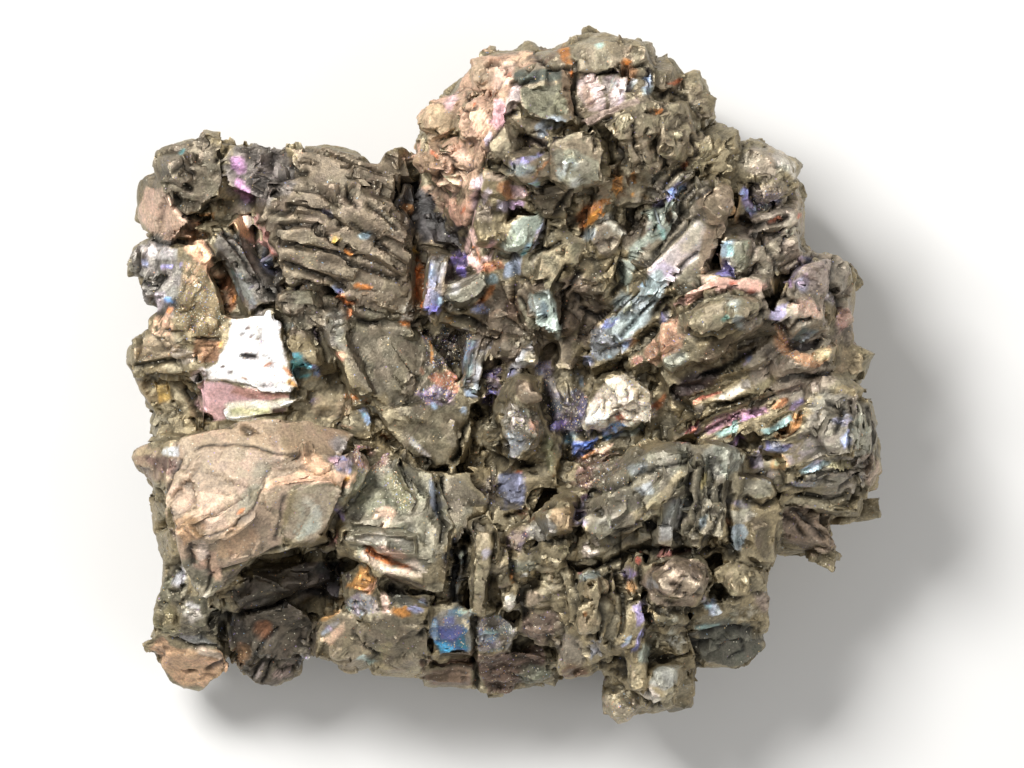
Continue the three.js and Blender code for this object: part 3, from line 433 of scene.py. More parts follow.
face([(-50, -28), (-46, -27), (-45.2, -31.6), (-46, -35), (-50, -34.2)], (194, 162, 132))
stain_or_painted_light(-48.4, -27.4, (0.8, 1.4), (222, 202, 182), -20)
stain_or_painted_light(-46.8, -33.6, (1, 0.8), (172, 124, 84))
face([(-45, -31.6), (-41, -30), (-37.6, -28.2), (-36.4, -26.4), (-34, -27.4), (-37, -29.6), (-42, -34.4),
      (-45.8, -35.4)], (118, 108, 90))
stain_or_painted_light(-35.8, -27.4, (1.9, 0.8), (156, 150, 124), -20)
stain_or_painted_light(-57, -13.5, (3.4, 3.6), (140, 122, 98), 30, metal=0.4)
face([(-60.4, -12.6), (-58, -11), (-55, -9.8), (-55.2, -11.2), (-58.6, -12.4)], (162, 146, 112))
face([(-54.8, -10.8), (-52, -9.6), (-52.6, -11.4), (-54, -11.8)], (208, 213, 212), metal=0.7)
face([(-58, -12.4), (-54, -11.8), (-53, -12.4), (-54, -16), (-56.4, -15)], (110, 88, 74))

# Beside it: a square block with a pale ledge and a rusty fissure across its face.
sheaf((-10, -29.4, 0.8), (-7, -30.4, 0.6), 4, (10, 0.9, 6), 86)
crystal((-17, -15.6, 1), (8, 1.8, 6), -60, roll=20)
crystal((-20, -20.6, 1), (7, 5, 6), -50, roll=-8)
crystal((-14.4, -21, 0.8), (6, 5, 6), 40)
crystal((-21, -25.2, 0.8), (12, 1.8, 6), 4)
crystal((-18, -30, 0.8), (11, 1.8, 6), -16)
crystal((-19.4, -22.8, 0.8), (1.8, 1.7, 4), 0)
crack([(-26.6, -16.4), (-26.8, -19.6), (-28, -22.6), (-29.6, -25.6)], 0.5, 1.4)
crack([(-18.6, -13), (-16, -15.6), (-13.4, -18.4)], 0.45, 1.2)
crack([(-10.4, -15.4), (-10.4, -21), (-10.6, -25)], 0.5, 1.4)
crack([(-23.6, -26.8), (-22, -26.9), (-18, -28.5), (-14, -29.8)], 0.4, 0.7)
crack([(-9, -25), (-8.8, -30), (-8.8, -34)], 0.35, 1.2)
crack([(-7.4, -25), (-7.4, -30), (-7.2, -34.6)], 0.35, 1.2)
crack([(-6.2, -24), (-5.9, -31), (-5.8, -36)], 0.45, 1.4)
habit(-19, -18, -50, (6, 2, 0.15), (4, 0.3))
habit(-18, -25, -5, (9, 1.2, 0.3), (4, 0.3))
habit(-18, -30, -14, (9, 1.3, 0.35), (3, 0.3))
habit(-8, -30, 85, (8, 0.8, 0.5), (3, 0.2))
stain_or_painted_light(-18, -22, (9, 9), (140, 137, 114), metal=0.4)
stain_or_painted_light(-22, -18.4, (3, 3), (132, 133, 108), glitter=0.05)
face([(-27.8, -25.4), (-24, -24.8), (-18, -24), (-15.4, -25.4), (-18, -26), (-24, -26.4)], (202, 197, 176),
     metal=0.3)
stain_or_painted_light(-18, -27.2, (2.6, 0.9), (176, 150, 130), -16)
face([(-23.6, -26.6), (-22, -26.6), (-18, -28.2), (-14, -29.6), (-14, -30.2), (-18.4, -29),
      (-22.6, -27.6)], (222, 130, 48), 0.4)
face([(-23.8, -27.4), (-22, -28), (-18, -29.4), (-13.6, -30), (-13.4, -30.8), (-17, -31.2), (-21, -29.8),
      (-24, -28.4)], (228, 208, 180), 0.4)
face([(-15.4, -28.6), (-14.2, -28), (-12.8, -30), (-14.6, -30)], (238, 224, 196), 0.2)
face([(-21.8, -20.6), (-20, -20.2), (-18.4, -21.4), (-18.8, -22.4), (-20.2, -21.8), (-21.6, -22)],
     (226, 194, 164), 0.3)
stain_or_painted_light(-19.4, -22.8, (0.7, 0.7), (204, 182, 152))
stain_or_painted_light(-18.4, -18, (1.6, 3), (140, 138, 102), 30, glitter=0.25)
stain_or_painted_light(-16, -32.4, (3.6, 1.2), (132, 120, 102), -20)
stain_or_painted_light(-28.6, -25, (1, 1.8), (124, 90, 78), -30)
film_or_painted_glint(-26.9, -21, (0.5, 1.4), (126, 106, 190), 10)
face([(-12.8, -16.4), (-11.6, -16.8), (-10.4, -20), (-10.8, -21.8), (-12.2, -20)], (132, 143, 156),
     metal=0.7)
face([(-10.2, -16), (-6.6, -16.2), (-3, -20), (-4, -22.6), (-8, -25), (-10, -22)], (124, 118, 98))
film_or_painted_glint(-8.2, -30, (2, 5.5), (46, 43, 42), 5)
# A painted glint: a pale streak on the crests of the dark lamellae.
film_or_painted_glint(-7.9, -30, (0.25, 3.6), (190, 190, 190), -3, into=-1)

# Bottom left: dark lumps that hang low under the pale slab, one with a tan cap.
crystal((-52, -33.4, 1.4), (5, 4, 7), 40)
crystal((-50, -38, 1.6), (5, 4.4, 7), 70)
crystal((-54, -38.6, 1.2), (4, 4, 7), 20)
crystal((-47.6, -36, 1.2), (4, 3, 7), 60)
sheaf((-42, -34, 1), (-36, -31.6, 0.8), 4, (12, 1.6, 6), 10)
sheaf((-41, -41, 1), (-35, -43, 0.8), 5, (8, 1.5, 6), 66)
crack([(-45.6, -38), (-40, -36.6), (-35.6, -35.2), (-32, -34)], 0.55, 1.4)
crack([(-46, -37.4), (-46.4, -41), (-45, -45)], 0.6, 1.6)
crack([(-48.8, -47.4), (-46.6, -45.4)], 0.35)
crack([(-53.8, -42.2), (-50, -43.4), (-46, -43)], 0.4, 0.9)
crack([(-53.4, -31.4), (-52.4, -32)], 0.3)
crack([(-53.8, -34.8), (-52.4, -33.8)], 0.3)
crack([(-41.6, -44.6), (-39.8, -42), (-37, -40)], 0.35, 0.9)
crack([(-42.4, -48), (-39.6, -44.6)], 0.3, 0.8)
crack([(-39.8, -48.4), (-37.4, -44.4)], 0.3, 0.8)
habit(-51, -36, 60, (5, 2, 0.3), (2.8, 0.7), 0.15)
habit(-51, -46, 30, (6, 1.6, 0.25), (4, 0.4), 0.15)
habit(-38, -33, 10, (9, 1.3, 0.4), (3, 0.4), 0.2)
habit(-38, -43, 60, (6, 1.1, 0.5), (2.5, 0.5), 0.25)
stain_or_painted_light(-51, -36, (6, 6.5), (126, 122, 100))
stain_or_painted_light(-54, -38.4, (1.8, 2.2), (140, 132, 96))
face([(-52, -38), (-50, -36.4), (-49, -38.4), (-50.6, -39.8)], (192, 188, 172), metal=0.5)
stain_or_painted_light(-50.4, -36.8, (0.9, 0.5), (228, 228, 222), -20)
stain_or_painted_light(-53, -32.6, (0.7, 1.3), (192, 195, 200), -20, metal=0.7)
stain_or_painted_light(-47.6, -35.6, (0.8, 0.9), (182, 178, 164), metal=0.5)
stain_or_painted_light(-50, -42.4, (3, 0.7), (142, 143, 138), -6)
face([(-57.4, -43.6), (-55.6, -42.2), (-54, -43.6), (-50, -44), (-46, -43.4), (-45.4, -45.4), (-49, -49.8),
      (-53, -50)], (190, 154, 114), metal=0.2)
stain_or_painted_light(-48, -44.4, (1.8, 0.7), (206, 184, 156), -20)
stain_or_painted_light(-38, -42, (8, 8), (92, 85, 70), metal=0.5)
stain_or_painted_light(-36, -33, (9, 4), (84, 78, 66), 10, metal=0.5)
film_or_painted_glint(-43.8, -40, (1.6, 1.8), (64, 64, 66), glitter=0.1)
stain_or_painted_light(-39.5, -40.4, (1.7, 1.4), (150, 102, 66))
stain_or_painted_light(-43.8, -43.6, (1.6, 1.9), (142, 110, 74))
crest(-40, -46, (0.4, 2.2), (172, 162, 150), -35)
crest(-36, -47.4, (1.6, 1), (140, 124, 112))
crest(-33, -45.6, (0.9, 1.4), (110, 112, 116))
film_or_painted_glint(-30, -31, (4, 4), (52, 46, 46))

# Bottom: a row of square-broken crystals; one face of them is bright blue.
crystal((-27.4, -41.6, 1.2), (6, 4.6, 7), -60)
crystal((-24, -43.6, 0.8), (5, 3.6, 7), 20)
crystal((-18.6, -41, 1), (6, 5, 7), 60)
crystal((-14.6, -44, 1), (5, 4, 7), 20)
crystal((-20, -46, 1), (6, 4, 7), -5)
crystal((-15, -36.6, 1.4), (2.6, 2.4, 6), 30)
crystal((-16.8, -34.4, 1.2), (3.4, 3, 6), 0)
crystal((-23.4, -31.4, 1.2), (4.4, 3.6, 6), 30)
crystal((-10, -47.6, 0.8), (8, 3.4, 6), 0)
crystal((-4.6, -26, 1.2), (4, 3.4, 6), 80)
crystal((-4.8, -32, 1.2), (5, 3.4, 6), 90)
crystal((-1.2, -29, 1.2), (4, 3.4, 6), 60)
crystal((1.2, -35, 1.4), (3.4, 3.2, 6), 60)
crystal((3.2, -30.6, 1.2), (3, 2.8, 6), 30)
crystal((5.6, -33.6, 1.2), (5, 4, 7), 30)
crystal((7, -31, 1.2), (4, 3.4, 7), 60)
crystal((5, -39.4, 1.2), (5, 4, 7), -20)
crystal((0, -46.6, 1), (5, 3.4, 7), 0)
crystal((5, -46.6, 1), (5, 4, 7), 20)
crystal((-3, -40.6, 1), (4, 3.4, 7), 0)
crack([(-5.2, -37.6), (-5.4, -43), (-4.8, -49.4)], 0.55, 1.7)
crack([(-14, -45.4), (-10, -45), (-6, -45.6)], 0.5, 1.3)
crack([(-13.6, -44.4), (-11, -43.9), (-7, -43.2)], 0.3, 0.6)
crack([(-24.4, -40.4), (-23, -42.6), (-21.2, -44.4)], 0.35)
crack([(-14.2, -41), (-13, -38), (-12.4, -36)], 0.4)
crack([(-2.6, -24), (-2.2, -30), (-2.4, -36)], 0.5, 1.3)
crack([(1.4, -27.6), (1.6, -31), (3, -33.6), (2.4, -38)], 0.5, 1.3)
crack([(1.8, -40.6), (2, -43.6)], 0.4)
crack([(-18.4, -33), (-14, -33.8), (-11.6, -34.6)], 0.5, 1.3)
habit(-26, -42, -60, (5, 3, 0.12), (4, 0.4))
habit(-18, -42, 40, (5, 3, 0.12), (4.4, 0.35))
habit(-22, -33, 0, (4, 2, 0.2), (2, 0.7), 0.25)
habit(-8.6, -39, 0, (4, 3, 0.06), (2.4, 0.2), 0.1)
habit(-9, -47, 0, (6, 3, 0.15), (3, 0.3))
habit(-1, -41, 20, (4, 2, 0.35), (1.8, 0.8), 0.5)
habit(2, -46, 10, (5, 1.6, 0.45), (1.9, 0.8), 0.5)
habit(5, -36, 20, (4, 1.5, 0.35), (2, 0.7), 0.4)
habit(-3, -30, 95, (5, 2.4, 0.2), (2.6, 0.5))
stain_or_painted_light(-26, -42, (5, 5.4), (144, 133, 106), metal=0.4)
face([(-30.2, -41), (-28.6, -40.4), (-26.2, -38.2), (-26, -39.4), (-28, -41.6), (-29, -42.8)],
     (238, 204, 166), 0.4, metal=0.3)
film_or_painted_glint(-28.4, -39.2, (1.8, 0.5), (196, 190, 198), 35)
stain_or_painted_light(-28.6, -37, (2.2, 0.6), (172, 132, 72), 25)
stain_or_painted_light(-23, -44.7, (1.8, 0.6), (182, 202, 194), -12, metal=0.7)
stain_or_painted_light(-18, -42, (5.4, 5), (128, 119, 96), metal=0.5)
stain_or_painted_light(-20, -43.6, (1, 1.5), (152, 142, 104), -20)
face([(-25.9, -33), (-24.4, -30.6), (-23, -29.4), (-21.8, -31), (-20.4, -31.6), (-20.8, -33.6),
      (-23, -34.2)], (202, 146, 68), metal=0.4)
crest(-21.8, -33.2, (1.6, 0.7), (230, 176, 138), 10)
sheen([(-26.2, -34.6), (-23, -34.2), (-21, -34.4), (-20.2, -36.8), (-23, -37.8), (-25.8, -36)],
      (174, 172, 180), glitter=0.3)
face([(-20.1, -34.2), (-18.8, -34.1), (-18.7, -36.7), (-19.8, -36.9)], (228, 200, 178), 0.3)
stain_or_painted_light(-16.8, -34.4, (1.8, 1.5), (122, 123, 110))
face([(-18.6, -36.6), (-16.2, -36.2), (-15.2, -37.8), (-17, -38.2)], (208, 144, 54), 0.4)
sheen([(-16.2, -36.8), (-14.6, -35.4), (-13.6, -36.4), (-14.8, -37.5)], (178, 178, 224), 0.3)
film_or_painted_glint(-13.3, -34.6, (0.7, 0.7), (192, 190, 218))
sheen([(-12.1, -37.4), (-10.4, -36.1), (-7.4, -35.9), (-5.9, -38), (-5.7, -42.6), (-7.4, -43),
       (-11, -43.7), (-12.1, -40.6)], (66, 104, 144), 0.4, glitter=0.12)
sheen([(-10.8, -37.4), (-8, -37.2), (-7.2, -40), (-9, -41.6), (-10.8, -40.6)], (102, 98, 158), 0.8,
      glitter=0.1)
sheen([(-11.7, -41.4), (-10, -41.2), (-8.8, -43), (-11, -43.7)], (60, 172, 220))
film_or_painted_glint(-7.4, -41.4, (1.4, 1.1), (52, 116, 136))
film_or_painted_glint(-11.7, -39.2, (0.5, 1.8), (190, 214, 234), glitter=0.1)
stain_or_painted_light(-6.5, -38.8, (0.3, 1.2), (232, 218, 176), 25)
film_or_painted_glint(-6.4, -36.9, (1.6, 0.5), (180, 192, 194), -20, glitter=0.5)
face([(-9, -43.6), (-5.5, -42.9), (-5.5, -45.2), (-13.4, -45.2), (-12.6, -44.4)], (116, 93, 72))
face([(-14.4, -45.5), (-6, -45.7), (-5.3, -49.2), (-7, -49.8), (-12, -49.6), (-13.8, -47.6)],
     (118, 99, 78), metal=0.4)
sheen([(-5, -38), (-1, -37.8), (1.6, -40.6), (1.6, -43), (-2, -43.4), (-5, -43)], (128, 126, 122),
      glitter=0.3)
film_or_painted_glint(-2.6, -41.2, (1.6, 0.9), (124, 162, 178), glitter=0.2)
face([(-4.9, -43.6), (2, -43.4), (5, -41.4), (6, -45), (2, -49.4), (-3, -49.8), (-4.7, -46)],
     (106, 88, 72), metal=0.6, glitter=0.06)
stain_or_painted_light(4.4, -47.4, (2.6, 1.7), (98, 100, 82), metal=0.6, glitter=0.06)
stain_or_painted_light(4.8, -39, (3, 2.8), (118, 102, 86), metal=0.6, glitter=0.06)
crest(7, -31.4, (2, 2), (190, 180, 146))
crest(4.8, -34.8, (1.6, 0.8), (162, 148, 122), -20)
stain_or_painted_light(-4.2, -30, (2, 8), (140, 131, 102), 5, metal=0.4)
# A painted highlight on the crystal's top.
stain_or_painted_light(-3.6, -26.8, (0.8, 0.6), (200, 194, 200), metal=0.6)
crest(-4.8, -32, (1.4, 2), (154, 147, 114))
stain_or_painted_light(-0.6, -31, (1.6, 3), (116, 108, 84), 20)
stain_or_painted_light(1.3, -35.6, (1.2, 1.3), (208, 205, 188), metal=0.3)
stain_or_painted_light(3.2, -31, (0.5, 0.5), (214, 213, 202))
stain_or_painted_light(3, -29, (2, 1.2), (122, 124, 104), 10)
stain_or_painted_light(1.2, -31.6, (0.5, 1), (206, 140, 56), into=1)
film_or_painted_glint(2, -25, (1.6, 1.6), (84, 62, 76), glitter=0.1)

# Top: the tallest lobe, blocky and rough, with a coarse pale peach flank on its left, its peach
# partly tarnish and partly painted warm light.
crystal((14, 51.8, 0.8), (8, 6, 8), 20)
crystal((11, 50, 0.8), (4, 6, 8), -10)
crystal((20, 50.6, 0.8), (5, 4, 8), 40)
crystal((24.6, 47.6, 1), (5, 4, 8), 60)
sheaf((16.8, 46.2, 1), (20.2, 45.6, 0.4), 5, (7, 0.8, 5), 68)
crystal((13, 45.4, 0.4), (6, 4, 5), 80)
crystal((15.6, 41.6, 1.4), (11, 2, 6), 17)
crystal((6.4, 47, 1), (7, 5.6, 7), 75)
crystal((4, 41, 1.4), (6, 5, 7), 60)
crystal((8.4, 43, 1), (5, 4, 7), 100)
crystal((18, 39.6, 1.4), (4.6, 3.6, 8), 70)
crystal((14, 38, 1.2), (5, 4, 8), 70)
crystal((24.2, 41.2, 1.4), (4, 3, 8), 70)
crystal((27, 39.4, 1.4), (4.4, 3.4, 8), 40)
crystal((21.4, 36.4, 1.2), (5, 3, 8), 75)
crystal((25.4, 36.4, 1.4), (5, 3.6, 8), 20)
crystal((30.6, 37, 1.2), (5, 3.6, 8), 60)
crystal((17.4, 33, 1.4), (7, 3, 8), 80)
crystal((21, 32.6, 1.2), (4, 3, 8), 60)
crystal((10.4, 34, 1.2), (7, 5.6, 8), 50)
crystal((3.6, 34, 1.2), (5, 4, 7), 20)
crystal((29, 45.6, 1), (5, 4, 8), 80)
crystal((30, 42.6, 1), (4, 3, 8), 30)
crystal((-12, 41, 1), (5, 4, 7), 50)
crystal((-8, 44, 1.2), (5, 4, 7), 50)
crystal((-4, 48.6, 1), (5, 4, 7), 30)
crystal((-6, 40.6, 1.2), (5, 4, 7), 30)
crystal((-9, 35.6, 1.4), (6, 4.4, 7), 0)
crystal((-12.6, 34, 1), (4, 3.4, 7), 70)
crystal((-8.6, 31.6, 1.4), (4, 3, 7), -20)
crystal((-8, 27.4, 1.2), (5, 3.4, 7), 110)
crystal((-4, 37, 1.2), (7, 3, 7), 65)
crystal((-1.4, 42.6, 1), (5, 3, 6), 60)
crystal((0.6, 45.8, 1), (6, 2, 6), 75)
crystal((1.4, 29, 1), (4, 3, 6), 50)
crystal((-2.4, 27, 1), (5, 4, 6), 100)
crystal((6.4, 27.2, 0.8), (6, 5, 6), -20)
crystal((1.6, 22.4, 1.6), (6.6, 4.6, 6), 35, roll=12)
crystal((13.4, 27.4, 0.8), (6, 2.4, 6), 80)
crack([(-7, 24), (-5.8, 28), (-4.4, 33.2), (-3.2, 37), (-0.4, 41), (1.8, 42.6)], 0.4, 0.9)
crack([(1.2, 47), (2.4, 46.8), (4, 47.6)], 0.5, 1.3)
crack([(4.6, 51.6), (6.4, 49.8), (10, 49.6)], 0.35)
crack([(10.3, 51.4), (10.8, 48.6), (10.2, 45), (10.8, 41.4)], 0.4)
crack([(10.8, 48.4), (15, 48.6), (18, 48.8), (21, 49.8)], 0.4, 0.9)
crack([(11, 40.1), (13, 39.7), (14.6, 40.4), (16, 41.4)], 0.5, 1.4)
crack([(-0.6, 34), (1, 32.6), (2.6, 30.2), (4.6, 29.8)], 0.5, 1.2)
crack([(9.2, 29.6), (6.8, 25), (9.4, 26.6)], 0.35)
crack([(2, 38.4), (6, 37.6), (9, 39.4)], 0.4)
crack([(-11, 37.2), (-8, 33.2), (-5.8, 34)], 0.35)
crack([(-10.4, 33), (-10.8, 30), (-7, 29.4)], 0.35)
crack([(-7.8, 45.6), (-6.6, 43.4), (-4.6, 43.6)], 0.35)
crack([(24.6, 45.2), (26, 46), (28, 44.4)], 0.5, 1.2)
crack([(22, 44.4), (21.6, 49)], 0.35)
for x, y in ((19.8, 38), (22.4, 38), (20.4, 34.6), (24, 34.4), (28.6, 37.2), (16, 35.6), (13, 37.4)):
    crack([(x, y + 1.6), (x + 0.6, y - 1.4)], 0.4, 0.9)
habit(-10, 40, 60, (4, 2, 0.2), (2.6, 0.55), 0.3)
habit(-5, 47, 40, (4, 2, 0.2), (2.6, 0.55), 0.3)
habit(-9, 31, 110, (5, 1.8, 0.25), (2.6, 0.55), 0.3)
habit(-4.6, 22, 105, (6, 1, 0.3), (2, 0.4), 0.2)
habit(6, 44, 80, (5, 2, 0.2), (3, 0.45), 0.2)
habit(14, 52, 90, (4, 2, 0.15), (3.4, 0.4), 0.15)
habit(16, 45.5, 66, (8, 0.9, 0.4), (3, 0.2), 0.1)
habit(16, 42, 16, (9, 1.2, 0.3), (3, 0.3), 0.1)
habit(24, 47, 60, (4, 2, 0.2), (2.8, 0.5), 0.15)
habit(30, 45, 80, (4, 2, 0.2), (2.6, 0.6), 0.2)
habit(18, 36, 60, (4, 2.4, 0.2), (2.6, 0.6), 0.2)
habit(26, 39, 50, (4, 2.4, 0.2), (2.6, 0.6), 0.2)
habit(9, 34, 60, (4, 2.4, 0.15), (3, 0.45), 0.2)
habit(2, 34, 20, (4, 1.2, 0.3), (2, 0.5), 0.2)
habit(-1, 28, 60, (5, 3, 0.1), (3.4, 0.3), 0.1)
habit(6, 27, -20, (5, 3, 0.1), (4, 0.25), 0.1)
habit(1.6, 22.5, 45, (5, 2, 0.2), (2.4, 0.5), 0.1)
habit(15, 29, 65, (6, 1.4, 0.35), (2.4, 0.4), 0.2)
stain_or_painted_light(12, 41, (20, 14), (142, 132, 106))
# The peach flank and the pale facets on it: partly tarnish, partly painted warm light on faces that lean
# left.
face([(-6.6, 24.2), (-10, 26.6), (-13, 30), (-16, 35), (-16, 41), (-12, 45), (-8, 49), (-4, 53), (4.8, 53),
      (4.4, 50.6), (1.2, 49.4), (1, 47.4), (2.2, 46.6), (2, 43), (0, 41.4), (-2, 39), (-3.4, 36.6),
      (-4.4, 34), (-5.8, 32), (-6, 27)], (182, 151, 122), metal=0.2, gloss=0.6)
stain_or_painted_light(-12, 41, (2.6, 4), (172, 152, 118), -30, metal=0.25)
stain_or_painted_light(-4.4, 48.8, (2.2, 2.4), (170, 149, 120), 20, metal=0.3)
stain_or_painted_light(-12.6, 33.4, (1.8, 3.6), (154, 128, 98), 28)
face([(-2, 46), (-1.8, 50.2), (1, 50.6), (1, 47.6), (-0.6, 45.6)], (222, 192, 166), 0.8)
face([(-6.6, 43), (-4.4, 43.6), (-2.4, 41.4), (-2.4, 39), (-4, 39.4), (-6.4, 41)], (228, 194, 160), 0.8)
face([(-11.8, 36.4), (-9.4, 37.6), (-6.2, 36.6), (-6, 34.2), (-8, 33.2), (-11, 34.2)], (216, 184, 154),
     0.8)
face([(-10.3, 32.7), (-7, 33.1), (-6.6, 31.4), (-8.8, 30.4), (-9.3, 29.8)], (250, 218, 180), 0.4)
face([(-10.2, 28.8), (-6.4, 28.2), (-6.6, 25), (-8, 25.2), (-9.8, 27)], (184, 144, 118), 0.9)
face([(-2.8, 41), (-1.4, 44.6), (0, 44), (0.6, 42), (-1.6, 39.6)], (220, 170, 174), 0.5)
face([(0.4, 43.8), (1.4, 46.8), (2.2, 46.6), (1.9, 43.2), (0.4, 41.8)], (236, 218, 210), 0.4)
stain_or_painted_light(-10, 44.6, (0.9, 1.6), (210, 178, 176), -20)
stain_or_painted_light(2.6, 51.4, (2.4, 0.8), (204, 172, 136), 12)
stain_or_painted_light(-3.2, 38, (0.35, 1.5), (222, 208, 226), -30)
stain_or_painted_light(-6, 28, (0.35, 4), (226, 190, 186), -4)
for x, y in ((-5.2, 44.3), (-2.8, 45.4), (0.4, 48.4), (-7.4, 27), (-11.8, 36)):
    stain_or_painted_light(x, y, (0.5, 0.4), (186, 104, 60))
face([(-5.8, 31.6), (-4.4, 32.6), (-3.8, 31), (-4.8, 29.4), (-6.3, 29.6)], (228, 210, 214), 0.3)
face([(-5.2, 28), (-3.4, 29.4), (-2.9, 28.8), (-4.6, 27.2)], (228, 216, 218), 0.3)
face([(-4, 33), (-0.4, 31.8), (-1, 30.4), (-3.4, 31)], (180, 160, 136), 0.5)
face([(-1.8, 30.6), (0, 30.8), (0.4, 28.4), (-0.6, 27.6), (-1.8, 29)], (170, 124, 78), 0.4)
face([(0, 29.9), (1.6, 30.1), (3.3, 28.8), (1.4, 28), (0.2, 28.4)], (214, 184, 182), 0.3)
face([(-0.2, 27.7), (2.2, 27.7), (2, 26.5), (0, 26.7)], (208, 176, 214), 0.3, metal=0.5)
face([(-2.2, 27.4), (0, 27.2), (-0.4, 25.8), (-2.2, 25.2)], (186, 178, 192), 0.4, metal=0.5)
stain_or_painted_light(-4.2, 25.8, (1.4, 1.6), (152, 141, 120))
face([(2.8, 28.8), (6, 29.8), (9.6, 29), (9, 26.6), (6.8, 24.4), (4.4, 25.4), (2.8, 27)], (108, 99, 78))
face([(1, 48.8), (5, 49.6), (8.4, 49.6), (8.6, 47.6), (4, 47.2), (2, 46.8)], (88, 95, 84))
face([(2.2, 46), (8, 47), (8.6, 42.6), (6, 41.6), (3, 42)], (118, 118, 94))
face([(8.2, 50), (10, 50), (10.4, 42), (9, 42.4), (8, 46)], (132, 115, 90))
face([(4, 40), (6.4, 42.3), (8.4, 41.4), (6.4, 37.8), (4.4, 39)], (162, 176, 184), metal=0.7)
face([(1.4, 38.2), (5, 39), (8, 40), (7, 37), (3, 36.6)], (106, 94, 80))
stain_or_painted_light(5.4, 51.6, (2.2, 0.8), (110, 92, 72), 20)
face([(7.8, 52.8), (9.9, 53.4), (10.1, 50.4), (9.3, 50.2), (8.2, 51.4)], (178, 116, 46))
stain_or_painted_light(10.2, 48.6, (0.35, 0.9), (222, 134, 40), 20)
stain_or_painted_light(14, 51.6, (4, 3.2), (146, 137, 110), metal=0.4)
stain_or_painted_light(14.4, 53.2, (0.7, 0.6), (172, 206, 190))
stain_or_painted_light(18.6, 50.2, (0.8, 0.6), (236, 150, 40))
stain_or_painted_light(18.8, 49, (1.4, 1), (160, 116, 72))
face([(10.6, 47.8), (13.6, 48.4), (15, 44.8), (14.6, 43), (12.6, 42.6), (11.8, 44.4)], (208, 189, 182),
     0.5, metal=0.4)
face([(14.4, 47.8), (17, 48.2), (19.8, 48.2), (18.6, 45), (17.2, 43.2), (15.4, 43.6)], (182, 168, 162),
     0.5, metal=0.5)
stain_or_painted_light(12.6, 45, (0.9, 2), (166, 142, 122), 10)
film_or_painted_glint(17.8, 45.4, (0.4, 2.4), (226, 216, 226), -28)
film_or_painted_glint(19, 46.6, (0.4, 2), (224, 220, 218), -28)
film_or_painted_glint(16.3, 46.4, (0.3, 1.5), (218, 208, 208), -30)
sheen([(21, 46), (21.7, 48.8), (22.6, 48.2), (22.1, 45.4), (21, 45)], (196, 211, 230), 0.3)
stain_or_painted_light(21.7, 49.1, (0.6, 0.4), (60, 54, 46))
stain_or_painted_light(26.9, 47.5, (1, 0.6), (206, 122, 72))
face([(10.6, 41), (13, 42.3), (20, 44.2), (20, 43.2), (15, 41.4), (12.6, 40.1), (11, 40.2)],
     (152, 134, 118), 0.4, metal=0.4)
stain_or_painted_light(23.2, 42.4, (0.4, 0.6), (232, 150, 60))
stain_or_painted_light(15.7, 37.7, (0.9, 0.4), (214, 140, 60), -50)
for x, y in ((18, 39.8), (24.2, 41.2), (27, 39.6), (25.6, 36.6), (30.6, 37), (17, 36.6), (13.6, 37)):
    crest(x, y, (1.6, 1.1), (184, 174, 140), 40)
face([(6.6, 35.6), (10, 36.2), (14.4, 34), (14, 31), (10, 29.4), (8, 31.4)], (150, 149, 126), 0.8)
crest(8.8, 33, (1.5, 1.2), (178, 190, 180), 40, metal=0.7)
crest(9.9, 30.8, (1.1, 0.8), (186, 192, 182), 40, metal=0.7)
sheen([(0.4, 34.4), (3, 35.6), (5.6, 36.2), (5.4, 35.4), (3, 34.4), (1.2, 33.6)], (168, 160, 214), 0.3)
stain_or_painted_light(2.4, 33.4, (2.2, 0.9), (152, 162, 158), 10, metal=0.7, glitter=0.15)
face([(4.1, 32.1), (5, 33.2), (6.3, 34.9), (5.6, 34.2)], (222, 138, 46), 0.3)
sheen([(2.7, 31.2), (4.7, 32), (4.7, 30.7), (3.4, 30.1)], (178, 202, 214), 0.4)
face([(10, 26.6), (13.6, 27.6), (14.2, 25.6), (12, 24.4), (10.2, 25.2)], (186, 122, 62), 0.8)
face([(11.5, 25), (13.4, 26.3), (14.3, 25.6), (12.8, 24), (11.8, 24)], (240, 156, 36), 0.4)
stain_or_painted_light(14.4, 27.4, (1.8, 0.8), (186, 130, 60), 40, into=1)
stain_or_painted_light(16.6, 29.6, (0.5, 2), (202, 142, 56), -8)
stain_or_painted_light(18.8, 31, (0.4, 0.8), (214, 150, 64), 20)
stain_or_painted_light(18.9, 28.3, (0.9, 0.35), (222, 156, 44), -20)
stain_or_painted_light(20.6, 28.2, (1.6, 0.7), (150, 112, 44), -10)
stain_or_painted_light(16.8, 30.4, (1.6, 3), (122, 100, 70), into=1)
sheen([(18.3, 25.9), (19.7, 26.1), (19.7, 24.9), (18.3, 24.8)], (178, 196, 230), 0.3)
face([(-1.6, 20.4), (0.6, 24), (3.6, 26), (5, 24.6), (3.6, 22), (3.2, 20), (1, 19.5)], (166, 179, 163),
     0.5, metal=0.6)
stain_or_painted_light(-0.2, 22, (1.4, 0.5), (140, 150, 128), 45)
sheen([(2.2, 21.6), (3.6, 22), (3.5, 19.9), (2.6, 19.7)], (150, 204, 210), 0.3)
sheen([(4.2, 23.6), (5.2, 24.6), (4.9, 21.8), (4.2, 20.3), (3.8, 21.4)], (204, 206, 234), 0.3)
crack([(-1.6, 20), (0, 19.1), (2, 19.3)], 0.4)
crack([(5, 21.4), (6.6, 20.6), (8, 21.2)], 0.45)
face([(-7.1, 24.6), (-6, 24), (-4.4, 19.6), (-4, 18), (-5, 17.4), (-6.9, 19.6)], (236, 198, 182), 0.3,
     metal=0.2)
stain_or_painted_light(-5.3, 20.6, (0.3, 1.8), (226, 140, 70), 25)
